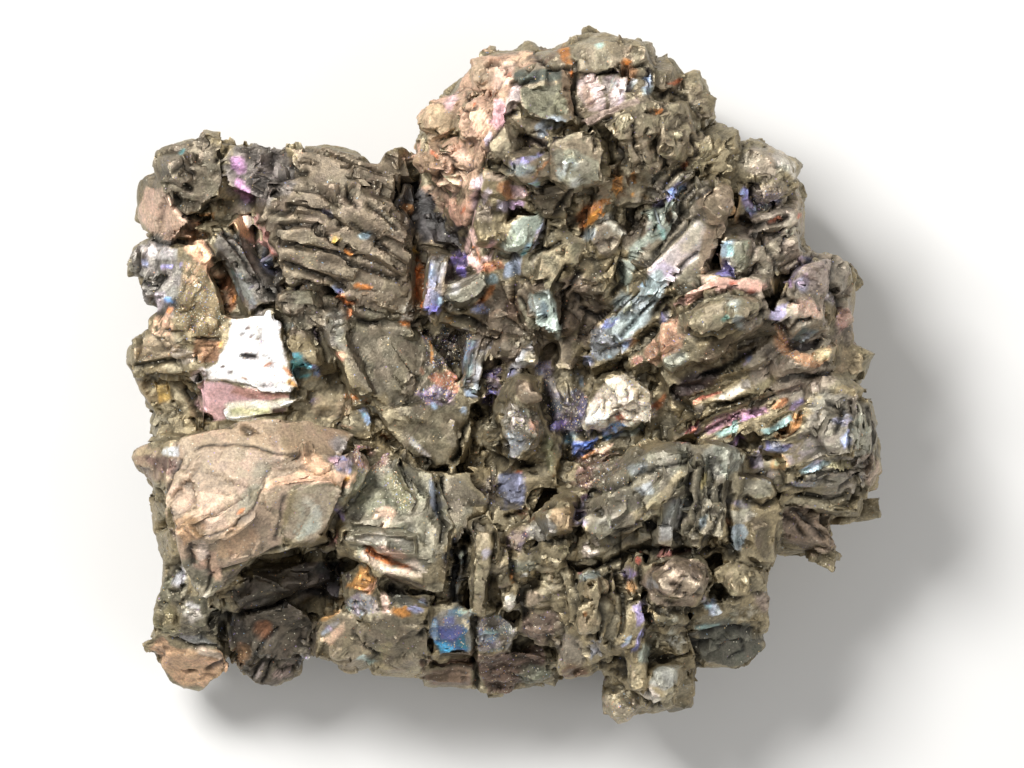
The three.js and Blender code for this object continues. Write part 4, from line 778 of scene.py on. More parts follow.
face([(-4.6, 19.6), (-2.8, 22.2), (-2.1, 22), (-2.8, 19.4)], (212, 180, 176), 0.3)
face([(-4.4, 19.5), (-1, 19.3), (0.2, 18.2), (-2.6, 17.4), (-4.6, 17.8)], (202, 138, 96), 0.5, glitter=0.1)
sheen([(-9.6, 20.8), (-7.2, 21), (-6.9, 19.4), (-7.8, 17.4), (-9.4, 18)], (130, 106, 198), 0.4)

# Upper right: a round knot of crystals, with bright stepped sheaves of plates on its left.
sheaf((17.6, 8, 1.2), (25, 16, 1.2), 7, (9, 1.5, 6), 47, roll=14)
sheaf((14.6, 4.4, 1.2), (21, 7.6, 1), 4, (5.6, 2, 6), 40, roll=10)
sheaf((21.4, 21, 1), (24.6, 26.4, 1.2), 4, (7, 1.5, 6), 62, roll=14)
sheaf((23.6, 29.6, 1.2), (30, 33, 1), 5, (9, 1.1, 6), 44, roll=14)
crystal((26, 20, 0.9), (13, 4.6, 6), 50, roll=8)
crystal((33, 29, 1.2), (5, 4, 7), 80)
crystal((33, 24.6, 1), (5, 4, 7), 80)
crystal((32.6, 19.8, 1), (5, 3.6, 7), 80)
crystal((38.4, 35.4, 1.2), (6, 4, 7), 30)
crystal((42, 33.6, 1.2), (6, 3.6, 7), -30)
crystal((42, 30, 1.2), (4, 3, 6), 0)
sheaf((39, 29.4, 0.4), (42, 26, 0.6), 3, (7, 1.2, 5), 5)
crystal((37.4, 20.4, 1.2), (5.6, 4, 7), 95)
crystal((43.4, 21, 1.2), (6, 3.6, 7), 35)
crystal((34.6, 37.6, 1), (5, 3.4, 7), 40)
crack([(21.8, 17), (24.6, 20.4), (28, 24.6), (29.6, 25.6)], 0.35, 0.9)
crack([(20.6, 16.6), (23.4, 19.8), (25, 22)], 0.3, 0.7)
crack([(25, 28), (24.8, 26), (26.4, 24)], 0.3)
crack([(27.2, 28), (27, 25.4), (25, 22.4), (23.6, 20.4)], 0.3)
crack([(23.4, 27.6), (23.8, 25.6), (22.2, 23)], 0.3)
crack([(26.4, 29), (29, 31.4), (32, 33.8)], 0.3, 0.9)
crack([(27.6, 28.6), (30.4, 31), (34, 32.4)], 0.35, 0.9)
crack([(28.6, 28.2), (30.4, 30), (32.6, 31.6)], 0.3, 0.9)
crack([(23.4, 30.2), (27, 33.6), (29.6, 36)], 0.35, 0.9)
crack([(22, 30.6), (24, 32.6)], 0.3)
crack([(26.4, 15.4), (27.4, 17.6), (30.2, 20.6)], 0.3)
crack([(23.4, 10.2), (26, 13.6), (30.6, 16.4)], 0.5, 1.4)
crack([(18.4, 2), (21.4, 5), (23.4, 7.6)], 0.5, 1.3)
crack([(17.6, 10.4), (20.4, 13.6)], 0.3)
crack([(19, 7), (21.6, 10.6), (23.6, 12)], 0.35)
crack([(38.6, 31.4), (38.6, 29), (40.4, 27.6), (43, 27.4), (45, 28.6)], 0.55, 1.5)
crack([(36.4, 25.8), (39, 24.8), (42, 25), (45, 26)], 0.5, 1.2)
crack([(38.6, 23.6), (42, 23), (44, 24)], 0.4)
crack([(35, 18.8), (36.6, 16.8), (38.6, 16.6), (39.8, 18.4)], 0.4)
crack([(40.4, 22), (42.4, 18.6), (43, 16.4)], 0.35)
crack([(45.4, 24), (43.4, 19.6)], 0.3)
habit(27, 30, 45, (9, 0.75, 0.5), (3, 0.2), 0.08)
habit(24, 25, 62, (7, 1.1, 0.4), (3, 0.25), 0.08)
habit(28, 20, 50, (12, 2.6, 0.12), (6, 0.1), 0.06)
habit(32.5, 24, 60, (6, 1.8, 0.2), (3, 0.4))
habit(22, 12, 48, (9, 1, 0.45), (3, 0.3))
habit(17, 6, 40, (6, 1, 0.4), (2.2, 0.5), 0.2)
habit(33, 37, 40, (5, 2, 0.3), (3, 0.5), 0.15)
habit(41, 34, 30, (7, 1.8, 0.25), (3.4, 0.4))
habit(41, 28, 5, (7, 1, 0.4), (2.4, 0.5), 0.2)
habit(37, 21, 95, (5, 1.4, 0.3), (2.4, 0.5), 0.15)
habit(43, 22, 35, (8, 1.2, 0.4), (2.6, 0.4), 0.15)
stain_or_painted_light(27, 24, (9, 9), (150, 142, 120), 45, metal=0.5)
stain_or_painted_light(42, 23, (6, 9), (154, 144, 126), metal=0.45)
face([(20.6, 26.4), (23.4, 27.2), (25.6, 28.4), (27, 27.4), (26.8, 25.4), (24.4, 22.2), (23, 23.4)],
     (166, 182, 168), 0.5, metal=0.6)
face([(22.8, 27), (25.4, 27.6), (25, 24), (22.6, 21.4), (20.4, 17), (18.6, 14.4), (17.4, 15.2),
      (19.6, 19.4), (21.6, 22.6)], (160, 172, 156), 0.8, metal=0.4)
film_or_painted_glint(23.9, 23.6, (0.5, 1.4), (182, 206, 216), 40)
stain_or_painted_light(26.2, 26.2, (0.6, 1.8), (198, 200, 184), -10)
stain_or_painted_light(25, 25.8, (0.4, 1.6), (110, 98, 78), -20)
face([(21.6, 22), (22.3, 20.2), (21.4, 19.2), (20.7, 20.4)], (180, 196, 178), 0.3)
face([(17.2, 24.6), (21, 25.8), (21.8, 22.6), (19, 20), (17.8, 22)], (100, 90, 71), 0.5)
face([(22.2, 16.4), (24, 19), (27, 22.2), (29.6, 25.4), (30.6, 24.6), (30.2, 20), (27.6, 16.8),
      (25.8, 14.8)], (196, 186, 182), 0.4, metal=0.45)
stain_or_painted_light(29, 22.6, (1.2, 2.4), (196, 188, 166), -25)
stain_or_painted_light(25, 17.6, (1.6, 1.2), (206, 196, 214), 40, metal=0.6)
face([(15.6, 8), (17.6, 9.8), (20, 12.4), (22, 15.8), (24.4, 17.6), (25.6, 15), (24, 12), (22.4, 9),
      (20.4, 7), (18, 5.4)], (170, 186, 186), metal=0.4)
stain_or_painted_light(18.2, 12.6, (1.4, 1.4), (150, 164, 162), 30)
film_or_painted_glint(21.6, 15.2, (0.6, 0.9), (184, 214, 234), -30)
stain_or_painted_light(20.6, 9, (0.7, 1.2), (182, 206, 204), -30)
stain_or_painted_light(19.6, 10.6, (0.8, 1), (176, 184, 156), -30)
film_or_painted_glint(17, 8.8, (1.6, 0.5), (158, 172, 226), 40)
film_or_painted_glint(24.9, 9.5, (0.6, 1.5), (142, 152, 226), -38)
stain_or_painted_light(23.2, 13.8, (1.4, 1.6), (168, 190, 190), -30)
face([(13.2, 4.6), (14.4, 8), (16.4, 7.6), (18.4, 4.6), (16.8, 2.8), (14.4, 2.8)], (156, 164, 168), 0.5,
     metal=0.7, glitter=0.1)
film_or_painted_glint(16.6, 3.4, (0.5, 0.4), (196, 206, 240))
film_or_painted_glint(19.6, 5.4, (0.4, 1.4), (196, 198, 222), -42)
stain_or_painted_light(20.6, 5.8, (0.4, 1), (206, 150, 90), -42)
sheen([(24, 29.4), (26.6, 31.2), (28.2, 30.9), (26, 28.6), (24.4, 27.9)], (158, 172, 228), 0.4)
film_or_painted_glint(23, 27.6, (1, 0.5), (148, 130, 208), 30)
film_or_painted_glint(30.3, 29.5, (1.6, 0.35), (190, 208, 238), 48)
crest(27.6, 32.2, (1.6, 0.4), (176, 176, 160), 45)
crest(29.6, 35.6, (3, 2), (160, 152, 118), 30)
stain_or_painted_light(27.6, 33.9, (0.8, 0.5), (206, 120, 60), 40)
face([(29, 28.6), (31, 30.8), (33.4, 32), (35, 30.6), (34.8, 26), (34.8, 20), (33.4, 17), (31, 16.4),
      (30.6, 19), (30.6, 23.6), (31, 26)], (156, 140, 114), 0.5)
stain_or_painted_light(32.4, 17, (1.4, 0.8), (214, 196, 170), glitter=0.1)
face([(12.4, 23.6), (15.4, 24.8), (17.3, 21.4), (15.6, 19.4), (13.6, 20.2)], (140, 130, 110), 0.5)
stain_or_painted_light(12.6, 22.6, (1, 0.9), (150, 160, 160), metal=0.6)
face([(13.8, 25), (16, 25.4), (18.1, 22.4), (17.6, 21.6), (16, 23.4), (14.4, 24.1)], (198, 197, 180), 0.3,
     metal=0.4)
face([(36.4, 33.6), (39, 36.8), (42, 36.6), (44.8, 33.4), (44, 32.2), (40, 32), (37.6, 33)],
     (148, 139, 118), 0.5)
stain_or_painted_light(44.4, 33.4, (0.8, 2.8), (188, 186, 172), 45)
crest(42.6, 30.4, (2.6, 1.6), (126, 114, 90))
stain_or_painted_light(41.6, 28.6, (3, 1.2), (128, 120, 118), metal=0.7, glitter=0.2)
sheen([(36.4, 29.6), (37.4, 30.8), (38.5, 29.6), (39.6, 27.2), (38, 26.4), (36.8, 28)], (166, 166, 226),
      0.3)
film_or_painted_glint(38, 27.7, (0.7, 0.5), (206, 215, 240))
film_or_painted_glint(42.4, 27.9, (2, 0.3), (190, 186, 216), 6)
face([(35, 28.6), (36.4, 29.2), (36.2, 25.6), (35, 24.6)], (186, 148, 94), 0.3)
stain_or_painted_light(46.8, 28.4, (1.1, 2.2), (152, 140, 114), glitter=0.1)
stain_or_painted_light(47, 25.8, (0.8, 0.4), (190, 100, 64), 50)
stain_or_painted_light(42.4, 25.4, (2.2, 0.3), (180, 104, 66), 10)
face([(36.6, 23), (38.4, 22.8), (39.4, 19), (38.4, 16.8), (36.4, 18), (36, 21)], (144, 146, 124), 0.4)
sheen([(34.7, 22.4), (36.1, 23), (36.4, 20), (35.4, 18.7), (34.5, 20.4)], (160, 190, 206), 0.3)
sheen([(33.4, 17.6), (35, 19), (36.5, 18.2), (36.4, 16.9), (34.6, 16.9)], (162, 158, 226), 0.3)
crest(44.4, 22.6, (0.6, 2.2), (178, 190, 168), -45)
film_or_painted_glint(41.2, 16.8, (0.4, 0.9), (200, 190, 226), -30)

# Right: long crystals that fan out from the low middle to the rim, some magenta and teal.
crystal((48.8, 16.4, 1.2), (5.4, 4.4, 7), 60)
crystal((47.6, 10.8, 1.2), (5, 4, 7), 20)
crystal((43.6, 14.6, 1), (3.6, 3, 7), 0)
crystal((53, 15, 1.2), (5, 3, 7), 80)
crystal((53, 9.4, 1), (4, 3, 7), 80)
crystal((30.4, 8.6, 1.4), (6, 5, 7), 30)
crystal((36.4, 10.6, 1.4), (7, 5, 7), 15)
crystal((33, 13, 1), (7, 2.6, 6), 20)
crystal((25.6, 6.6, 1), (5, 4, 6), 60)
crystal((27, 3, 1), (4, 3, 6), 30)
rib([(27, 12), (30, 14.8), (33.6, 15.8), (37, 15.8), (40.4, 14.8)], 2.2, 1)
crystal((43.4, 9.6, 1.2), (5, 2, 7), 45)
crystal((47.6, 6.8, 1.2), (6, 2, 7), 8)
crystal((47, 3.4, 1.2), (5, 3, 7), 12)
crystal((51, 4, 1.2), (4.6, 3.4, 7), 12)
crystal((55, 3, 1.2), (5, 3.4, 7), 5)
crystal((37, -0.2, 1.8), (17, 2.4, 6), 29, roll=10)
sheaf((31, -4.6, 1), (36, -9.4, 1), 5, (15, 1.2, 6), 26, roll=-12)
sheaf((42, -1.4, 1), (45, -8, 1), 4, (12, 1.5, 6), 26, roll=-10)
crystal((50, -5, 1.2), (7, 4.4, 7), 35)
crystal((56, -8.4, 1.2), (7, 4, 7), 80)
crystal((52, -12.6, 1.2), (7, 4, 7), 10)
sheaf((44, -9.6, 1), (47.6, -13.4, 1), 4, (7, 1.2, 6), 24)
sheaf((55.4, -7, 1), (59, -11, 0.6), 4, (9, 1.2, 6), 84, roll=18)
sheaf((50, -15.6, 1), (51, -20, 0.8), 4, (12, 1, 6), 0)
sheaf((48, -21.4, 1), (48.6, -26.4, 0.8), 5, (11, 1.3, 6), -28)
crack([(44.4, 16.4), (46.2, 18.2), (49, 19.4), (51.6, 18.8)], 0.4)
crack([(51.8, 18), (51.4, 14.4), (52.6, 11.4)], 0.4)
crack([(40.4, 12.2), (42, 12.4), (44, 12.8), (46, 12)], 0.4)
crack([(40.8, 8.4), (42.6, 7.8), (45.4, 8.4), (48, 8.6)], 0.4)
crack([(45.2, 5.5), (48, 5), (50, 5.8)], 0.4)
crack([(27.6, 7), (30, 6), (34, 7.2), (38, 8.6), (40.2, 10)], 0.5, 1.3)
crack([(28.2, 11), (31, 13.4), (36, 14.6), (39.4, 13.4)], 0.3, 0.7)
crack([(27, -2), (29.4, -5), (33, -4.4), (37, -2.9), (42, -1.6)], 0.7, 1.9)
crack([(31, 0.4), (34, 2), (39.6, 5.4)], 0.5, 1.4)
crack([(44, 0.4), (48, 0.4), (52, 1)], 0.4)
crack([(29, -6.8), (34, -5.2), (38, -3.6), (43, -2.4)], 0.3, 0.8)
crack([(28, -9.4), (33, -7.4), (36.6, -5.8)], 0.3, 0.8)
crack([(38, -9.8), (42, -9), (46, -7.6)], 0.4)
crack([(36, -9.6), (38, -11.6), (38.8, -13.4)], 0.6, 1.5)
crack([(57.6, -4.4), (58.6, -8), (58.8, -12), (56.6, -14.4), (53, -15.3), (48, -15.1)], 0.35, 0.9)
crack([(59.6, -8), (59.7, -12.6), (57.6, -15.6), (53, -17.2)], 0.3, 0.8)
crack([(57, -18), (52, -18.5), (47, -17.8), (44, -16.6)], 0.5, 1.3)
crack([(46, -15.5), (50, -16.2)], 0.7, 1.5)
crack([(51.4, -3.6), (53.4, -4.6), (51.8, -7.8)], 0.4)
crack([(54.4, -12), (54, -9.6), (54.6, -6.8)], 0.35)
for x in (45, 47.5, 50):
    crack([(x - 1.6, -20.6), (x + 1.6, -22.6), (x + 3, -25)], 0.3, 0.8)
habit(47, 16, 60, (5, 1.8, 0.2), (3, 0.4), 0.15)
habit(53, 15, 80, (5, 1.6, 0.25), (2.6, 0.4), 0.15)
habit(34, 9, 20, (5, 2, 0.15), (2.6, 0.5), 0.2)
habit(25, 5, 60, (4, 1.6, 0.25), (2.2, 0.5), 0.25)
habit(34, 15.6, 10, (8, 1.4, 0.15), (3, 0.2), 0.1)
habit(45, 9, 20, (7, 1.4, 0.3), (2.6, 0.4), 0.15)
habit(48, 3, 15, (4, 1.4, 0.3), (1.8, 0.5), 0.35)
habit(54, 2, 5, (5, 1.8, 0.25), (2.8, 0.4))
habit(37, 0, 28, (10, 1.6, 0.35), (3, 0.3))
habit(33, -6, 25, (11, 1.0, 0.5), (3, 0.2), 0.1)
habit(44, -4, 25, (10, 1.1, 0.45), (3, 0.2), 0.1)
habit(51, -7, 35, (5, 2, 0.25), (3, 0.4))
habit(57, -11, 82, (9, 1.0, 0.4), (3, 0.3), 0.1)
habit(47, -13, 14, (7, 1.4, 0.35), (2.6, 0.4))
habit(50, -18, 2, (10, 0.9, 0.45), (3, 0.2), 0.1)
habit(48, -24, -28, (10, 0.9, 0.4), (4, 0.2), 0.08)
stain_or_painted_light(46, 10, (10, 14), (146, 136, 116), metal=0.45)
sheen([(44.4, 16.8), (46.4, 19.4), (49, 19.8), (48.4, 18.4), (46.6, 17.2), (45.2, 15.4)], (106, 92, 118),
      0.4)
face([(46.2, 16.8), (49, 18.4), (51.6, 18.8), (51.8, 16), (51, 13.6), (47.4, 13.6)], (142, 131, 120), 0.4)
sheen([(45.6, 15.4), (47.6, 16.9), (48, 14.4), (46.8, 13.5)], (208, 190, 218), 0.3)
film_or_painted_glint(45.1, 15, (0.4, 0.8), (190, 150, 200), 20)
face([(52, 18), (54.8, 18), (54.8, 16), (53.4, 12), (51.6, 13.6)], (142, 135, 118), 0.4)
stain_or_painted_light(51.4, 12.4, (0.6, 0.8), (210, 202, 206))
stain_or_painted_light(43.4, 14.6, (1.5, 1.1), (198, 180, 134), glitter=0.1)
face([(25.8, 11.6), (29, 14.6), (32, 16.3), (36, 16.5), (39.8, 15.4), (41.2, 14), (39, 13.6), (36, 14.4),
      (33, 14), (29.4, 12.8), (27, 11)], (208, 166, 146), 0.4, metal=0.3)
for x, y in ((32.6, 15.6), (36.2, 15.5), (38.4, 13.9)):
    stain_or_painted_light(x, y, (0.8, 0.4), (202, 104, 70))
face([(28, 11), (31, 13.2), (36, 14.4), (39.4, 13), (40.2, 10.6), (38, 8.8), (34, 7.4), (30.4, 6.2),
      (27.8, 8)], (139, 131, 103), 0.5, metal=0.4)
crest(35.6, 11.4, (1.5, 1.1), (168, 172, 160), metal=0.6)
stain_or_painted_light(34.2, 9, (0.6, 0.5), (126, 180, 162), metal=0.7)
stain_or_painted_light(36.2, 8.4, (0.8, 1), (178, 192, 188), metal=0.6)
stain_or_painted_light(35, 4.6, (6, 2.2), (94, 82, 60), 22)
film_or_painted_glint(38.4, 3.6, (0.3, 1.6), (140, 140, 180), -50)
face([(21.8, 3.6), (24, 7.6), (26, 9.6), (27.8, 6.8), (27, 3.8), (24, 2.2)], (198, 156, 122), 0.9,
     metal=0.4, glitter=0.2)
stain_or_painted_light(21.2, 2.8, (1.1, 0.8), (216, 160, 140), 30, glitter=0.25)
stain_or_painted_light(27, 3, (1.6, 1.2), (152, 156, 138), 30)
face([(41.4, 9), (42, 10.8), (44.6, 11.8), (44.2, 10), (42.4, 8.1)], (182, 176, 208), 0.4, metal=0.7)
stain_or_painted_light(44.6, 10.8, (0.5, 1.2), (202, 197, 164), -30)
stain_or_painted_light(47.6, 10.6, (2.6, 1.9), (198, 166, 144), glitter=0.15)
sheen([(45, 6.8), (47, 7.6), (49.6, 7.6), (50, 6.4), (47.4, 5.9), (45.4, 5.9)], (114, 118, 118), 0.3)
film_or_painted_glint(47.6, 5.4, (2, 0.35), (90, 88, 134), 3)
face([(42.2, 7.8), (43.4, 7.8), (46, 4.8), (49, 4.2), (52, 5.8), (52.2, 3), (49.6, 1.8), (46.6, 3),
      (44, 4.4)], (212, 164, 118), 0.8, metal=0.4, glitter=0.25)
stain_or_painted_light(51, 4, (1.6, 1.3), (244, 218, 162), metal=0.3, glitter=0.2)
face([(52.4, 5.6), (57.4, 4.4), (56, 1.4), (52.6, 1)], (164, 149, 114), 0.5)
stain_or_painted_light(53, 9.4, (1, 2), (192, 154, 136), glitter=0.15)
stain_or_painted_light(43, 3, (2.2, 1.6), (142, 130, 112), 20)
# A painted highlight: a pale streak along the crystal where it catches the light.
face([(32.6, -3), (35.6, -0.8), (38, 0.6), (38.5, -0.4), (36, -1.8), (34, -3.2)], (212, 206, 188), 0.4,
     metal=0.5)
stain_or_painted_light(41, -0.4, (3.2, 0.9), (134, 126, 94), 28)
stain_or_painted_light(31.4, -2.6, (2.6, 0.5), (190, 114, 86), 28)
stain_or_painted_light(30.4, -4.6, (1, 0.6), (192, 180, 160), 20)
stain_or_painted_light(30, -0.6, (4, 1.4), (80, 70, 66), 30)
stain_or_painted_light(24.4, -3.6, (0.5, 1.8), (206, 132, 80), -40)
sheen([(31, -7.6), (34, -6), (38, -4.6), (41.4, -3.4), (41.4, -5), (38, -6.2), (34.6, -7.6), (32, -8.6)],
      (166, 122, 146))
film_or_painted_glint(35.4, -6.2, (2.6, 0.35), (208, 156, 172), 28)
film_or_painted_glint(38.6, -6.2, (2.6, 0.35), (200, 144, 190), 28)
film_or_painted_glint(40, -4.6, (1.6, 0.35), (226, 174, 212), 28)
sheen([(25.6, -8.4), (29, -6.8), (31, -7.4), (28.4, -9.8), (26, -10)], (86, 66, 106), 0.5)
stain_or_painted_light(28.4, -8.4, (2.2, 0.25), (220, 136, 108), 32)
stain_or_painted_light(28.6, -7.4, (1.8, 0.25), (206, 128, 120), 32)
face([(32.8, -8.8), (35.6, -7.3), (36.6, -7.6), (36, -9.1), (33.6, -9.7)], (150, 188, 178), 0.4, metal=0.7)
face([(41.2, -8.9), (45.4, -5), (47.2, -5.2), (46, -7.2), (43, -9)], (196, 144, 80), 0.4, metal=0.5)
face([(39.2, -8.5), (42, -6.9), (44.6, -5.4), (45.2, -6.2), (43, -7.7), (40.6, -8.7)], (152, 190, 188),
     0.4, metal=0.7)
stain_or_painted_light(35.6, -9.6, (1.5, 0.25), (212, 136, 50), 10)
stain_or_painted_light(43.6, -3.6, (2, 0.5), (206, 144, 92), 28)
film_or_painted_glint(46.4, -3.8, (2.2, 0.5), (154, 132, 176), 28)
film_or_painted_glint(36.2, -10.6, (1.5, 0.3), (212, 156, 216), 20)
film_or_painted_glint(42, -10.6, (3, 0.5), (152, 148, 190), 18)
stain_or_painted_light(53, -10, (7, 8), (136, 131, 115), metal=0.5)
sheen([(51.4, -6.4), (53.4, -5), (54.4, -6.1), (53.6, -7.1)], (188, 187, 216), 0.3)
sheen([(52.4, -9.4), (54, -7.6), (54.3, -10.4), (53, -10.9)], (168, 170, 216), 0.3)
face([(54.6, -6.4), (56.4, -5), (58, -8), (58, -12), (55.2, -12), (54.4, -9)], (164, 165, 146), 0.5)
sheen([(45.8, -13.6), (48, -12.3), (51, -13.3), (48.4, -14.3), (46.4, -14.5)], (188, 200, 220), 0.4)
stain_or_painted_light(52.6, -14, (2.6, 0.9), (152, 148, 110), -4)
crest(46.4, -10.6, (3.4, 1.4), (146, 137, 132), 24)
stain_or_painted_light(43, -12.4, (1.2, 1.2), (206, 152, 76))
stain_or_painted_light(43, -12.4, (0.8, 0.8), (162, 168, 132))
sheen([(38, -12), (39.6, -11.4), (40.8, -14.4), (39.6, -15)], (196, 184, 210), 0.5)
film_or_painted_glint(41.6, -15, (1.2, 0.8), (206, 200, 216), 20)
stain_or_painted_light(40, -17, (2.2, 1.5), (136, 135, 112), 10)
stain_or_painted_light(58.6, -14.6, (1.6, 2.6), (168, 152, 132), 20)
film_or_painted_glint(46.6, -16.4, (2.4, 0.8), (116, 120, 126), -6, glitter=0.35)
stain_or_painted_light(49, -24, (6, 3.6), (134, 118, 98), -24, metal=0.4)
crest(50.6, -21.8, (2.6, 0.6), (160, 144, 118), -28)

# Middle: a blunt upright crystal, a bright pointed shard and the blue sparks between them.
crystal((6.6, 10.4, 1.8), (11, 3.4, 6), -61, roll=18)
crystal((3, 9.6, 1.2), (8, 2.2, 6), -62)
crystal((6.6, 17, 2), (8, 4.4, 7), 58, roll=-14)
crystal((11.6, 20.6, 2.2), (10, 3.2, 7), 62, roll=16)
crystal((15, 22.4, 1.8), (6, 4.2, 7), 42, roll=-10)
sheaf((16, 16, 1.8), (20.4, 22, 1.4), 4, (9, 2, 7), 57, roll=14)
crystal((12.8, 14.6, 1.6), (6, 3.4, 7), 35)
crystal((12, 9.4, 1.6), (6, 3, 7), 50)
crystal((-6.4, 14.4, 2), (9.4, 4.6, 7), 30, roll=10)
sheaf((-13, 15.4, 0.8), (-11.4, 15, 0.6), 2, (11, 1.2, 5), 84)
crystal((-2, 10.6, 1), (5, 4, 6), 40)
crystal((-0.4, 4.8, 1.4), (4.4, 3.6, 6), 40)
crystal((2.6, 3.4, 1.2), (6, 1.6, 6), 45)
crystal((1, 1, 1.2), (5, 1.4, 6), 35)
crystal((9.6, 3.4, 1.4), (6, 3, 7), 70)
crystal((2.6, -2.4, 1.4), (5, 4.6, 6), 0)
crystal((1, -8, 1.2), (5, 4, 6), 100)
crystal((5.6, -9.6, 1.2), (9, 3, 6), 95)
crystal((1.4, -17.6, 1), (4.4, 3.4, 6), 60)
crystal((15.4, -5.6, 1.4), (8, 4.6, 6), 30)
crystal((19.4, -3.2, 1.3), (7, 5.6, 6), 34)
sheaf((10.4, -12.4, 1), (13.4, -10.6, 1), 4, (4.4, 0.9, 5), 25)
sheaf((12, -17, 1.2), (15, -13.4, 1), 4, (8, 1.3, 6), 30)
crystal((8.6, -3, 1.2), (5, 2, 6), 100)
crack([(10.4, -11), (12, -11.3), (13.6, -10.6)], 0.25, 0.5)
crack([(10.4, -12.2), (12.2, -12.2), (13.4, -11.5)], 0.25, 0.5)
crack([(10.6, -20), (12.4, -18.6), (15, -17), (18.6, -15.6)], 0.65, 1.6)
crack([(-1, -13.4), (1, -14), (3.6, -14)], 0.75, 1.6)
crack([(8.4, -8.4), (9.6, -10.4), (9, -13.4)], 0.5, 1.2)
crack([(10.6, -8.6), (12.4, -9.4), (14.4, -9.2)], 0.45)
crack([(-2.6, -1.6), (-2.8, -5), (-1.8, -9.4), (-0.6, -12.4)], 0.4)
crack([(5.6, -1), (6.6, -4.6), (7.2, -8)], 0.4)
crack([(2.4, 13.4), (4, 10.2), (7.6, 6.8)], 0.35, 0.9)
crack([(9.6, 13.2), (10, 9.4), (9.4, 6)], 0.6, 1.4)
crack([(-10.4, 12.6), (-8, 11.4), (-5.4, 12.2), (-3, 14.6)], 0.4)
crack([(2.2, 16.2), (4, 15.4), (6, 15.8)], 0.35)
crack([(11.8, 17), (10.2, 14), (12, 12)], 0.5, 1.2)
crack([(17.8, 20.6), (18.6, 17), (16.6, 13.8)], 0.5, 1.2)
crack([(12.4, 10.4), (15, 9.6), (16.4, 10.8)], 0.45, 1.2)
for x, y, to_x, to_y in ((13, -6.4, 14.4, -4.6), (15.4, -3.6, 15.2, -5.4), (17, -2, 17.6, -4.4),
                         (15.6, -7.4, 17, -6), (19.4, -1.8, 19.2, -4.6), (21.4, -2.8, 21, -5),
                         (18.4, -5.6, 20.4, -6), (16.8, -5, 18.4, -4.8)):
    crack([(x, y), (to_x, to_y)], 0.15, 0.5)
crack([(7, -20.2), (4, -20.4), (1, -21.2)], 0.45, 1.2)
habit(1.5, -3, 0, (4, 2.4, 0.15), (2.6, 0.4), 0.2)
habit(2, -9, 20, (2.4, 1.2, 0.35), (1.3, 0.8), 0.6)
habit(17, -4.5, 30, (2, 1, 0.3), (1.1, 0.55), 0.6)
habit(12, -11, 25, (7, 0.9, 0.5), (2, 0.3), 0.2)
habit(15, -15, 30, (7, 1, 0.45), (2, 0.4), 0.2)
habit(9, -4, 100, (4, 1.2, 0.3), (1.6, 0.6), 0.35)
habit(2, 4, 60, (5, 1.8, 0.25), (2.4, 0.5), 0.15)
habit(6, 11, -65, (8, 1.6, 0.2), (4, 0.25), 0.08)
habit(-7, 14, 25, (6, 1.6, 0.25), (2.6, 0.4))
habit(-12.4, 15, 80, (8, 1.2, 0.35), (2.4, 0.4), 0.15)
habit(9, 20, 60, (6, 3, 0.1), (4, 0.3), 0.08)
habit(17, 20, 50, (6, 2.6, 0.15), (3.6, 0.35), 0.1)
habit(12, 8, 60, (5, 2, 0.25), (2.8, 0.5), 0.15)
habit(1, -18, 60, (4, 2, 0.2), (2.2, 0.4), 0.15)
stain_or_painted_light(3, 8, (9, 8), (128, 117, 96))
stain_or_painted_light(11, 11, (5, 6), (116, 104, 84))
sheen([(-13.4, 19.6), (-11, 19.2), (-11.2, 16), (-11, 12), (-11.2, 10), (-13.6, 10.4), (-13.9, 15)],
      (130, 136, 166), 0.4)
stain_or_painted_light(-11.8, 18.6, (1.4, 1.8), (148, 148, 146), metal=0.6)
film_or_painted_glint(-12.3, 11.1, (1.2, 0.9), (152, 150, 224))
face([(-10.2, 16.8), (-5, 17.8), (-2.4, 16.6), (-4, 13.6), (-7, 11.8), (-9.8, 10.8), (-10.6, 13.6)],
     (134, 131, 112), 0.5, metal=0.4)
stain_or_painted_light(-9, 15, (0.8, 1), (186, 188, 184), metal=0.6)
face([(-5.8, 12), (-3, 14.2), (-1.4, 15.4), (-2.4, 13.6), (-4.6, 11.8)], (222, 136, 50), 0.3)
film_or_painted_glint(-4.8, 11.2, (1.3, 0.9), (170, 180, 222), glitter=0.3)
stain_or_painted_light(-1.8, 16.4, (0.9, 0.9), (152, 178, 182), metal=0.7)
face([(-0.2, 18.8), (2.6, 19.5), (2.2, 16.8), (0.4, 16.6)], (162, 177, 198), 0.5, metal=0.7)
stain_or_painted_light(-9.8, 9, (0.8, 1), (156, 116, 50), into=1)
crest(-2.6, 11.4, (2, 1.6), (124, 108, 86))
face([(-0.8, 12.4), (2, 13.8), (2, 10), (0.6, 8.2), (-0.8, 9.8)], (106, 90, 72), 0.5)
face([(2.2, 16.2), (4.4, 17.4), (6.4, 20.8), (5.8, 21), (3.4, 19.2)], (152, 146, 120), 0.4)
face([(6.2, 20.8), (9, 16.6), (10.2, 13.4), (7, 13.4), (4.2, 16.6)], (120, 112, 86), 0.5)
stain_or_painted_light(10.4, 20.6, (1, 3.6), (134, 127, 100), 14)
face([(3.9, 13.6), (6.6, 14), (8, 11.6), (9.5, 6.8), (9, 5.8), (7.8, 6.2), (5.4, 9.2), (4, 12)],
     (168, 184, 174), 0.4, metal=0.55)
stain_or_painted_light(6.1, 10.8, (0.6, 1.6), (116, 134, 140), 25)
face([(2.2, 13), (4.4, 10), (7, 7.2), (4, 8), (2.2, 9.4)], (150, 146, 120), 0.4)
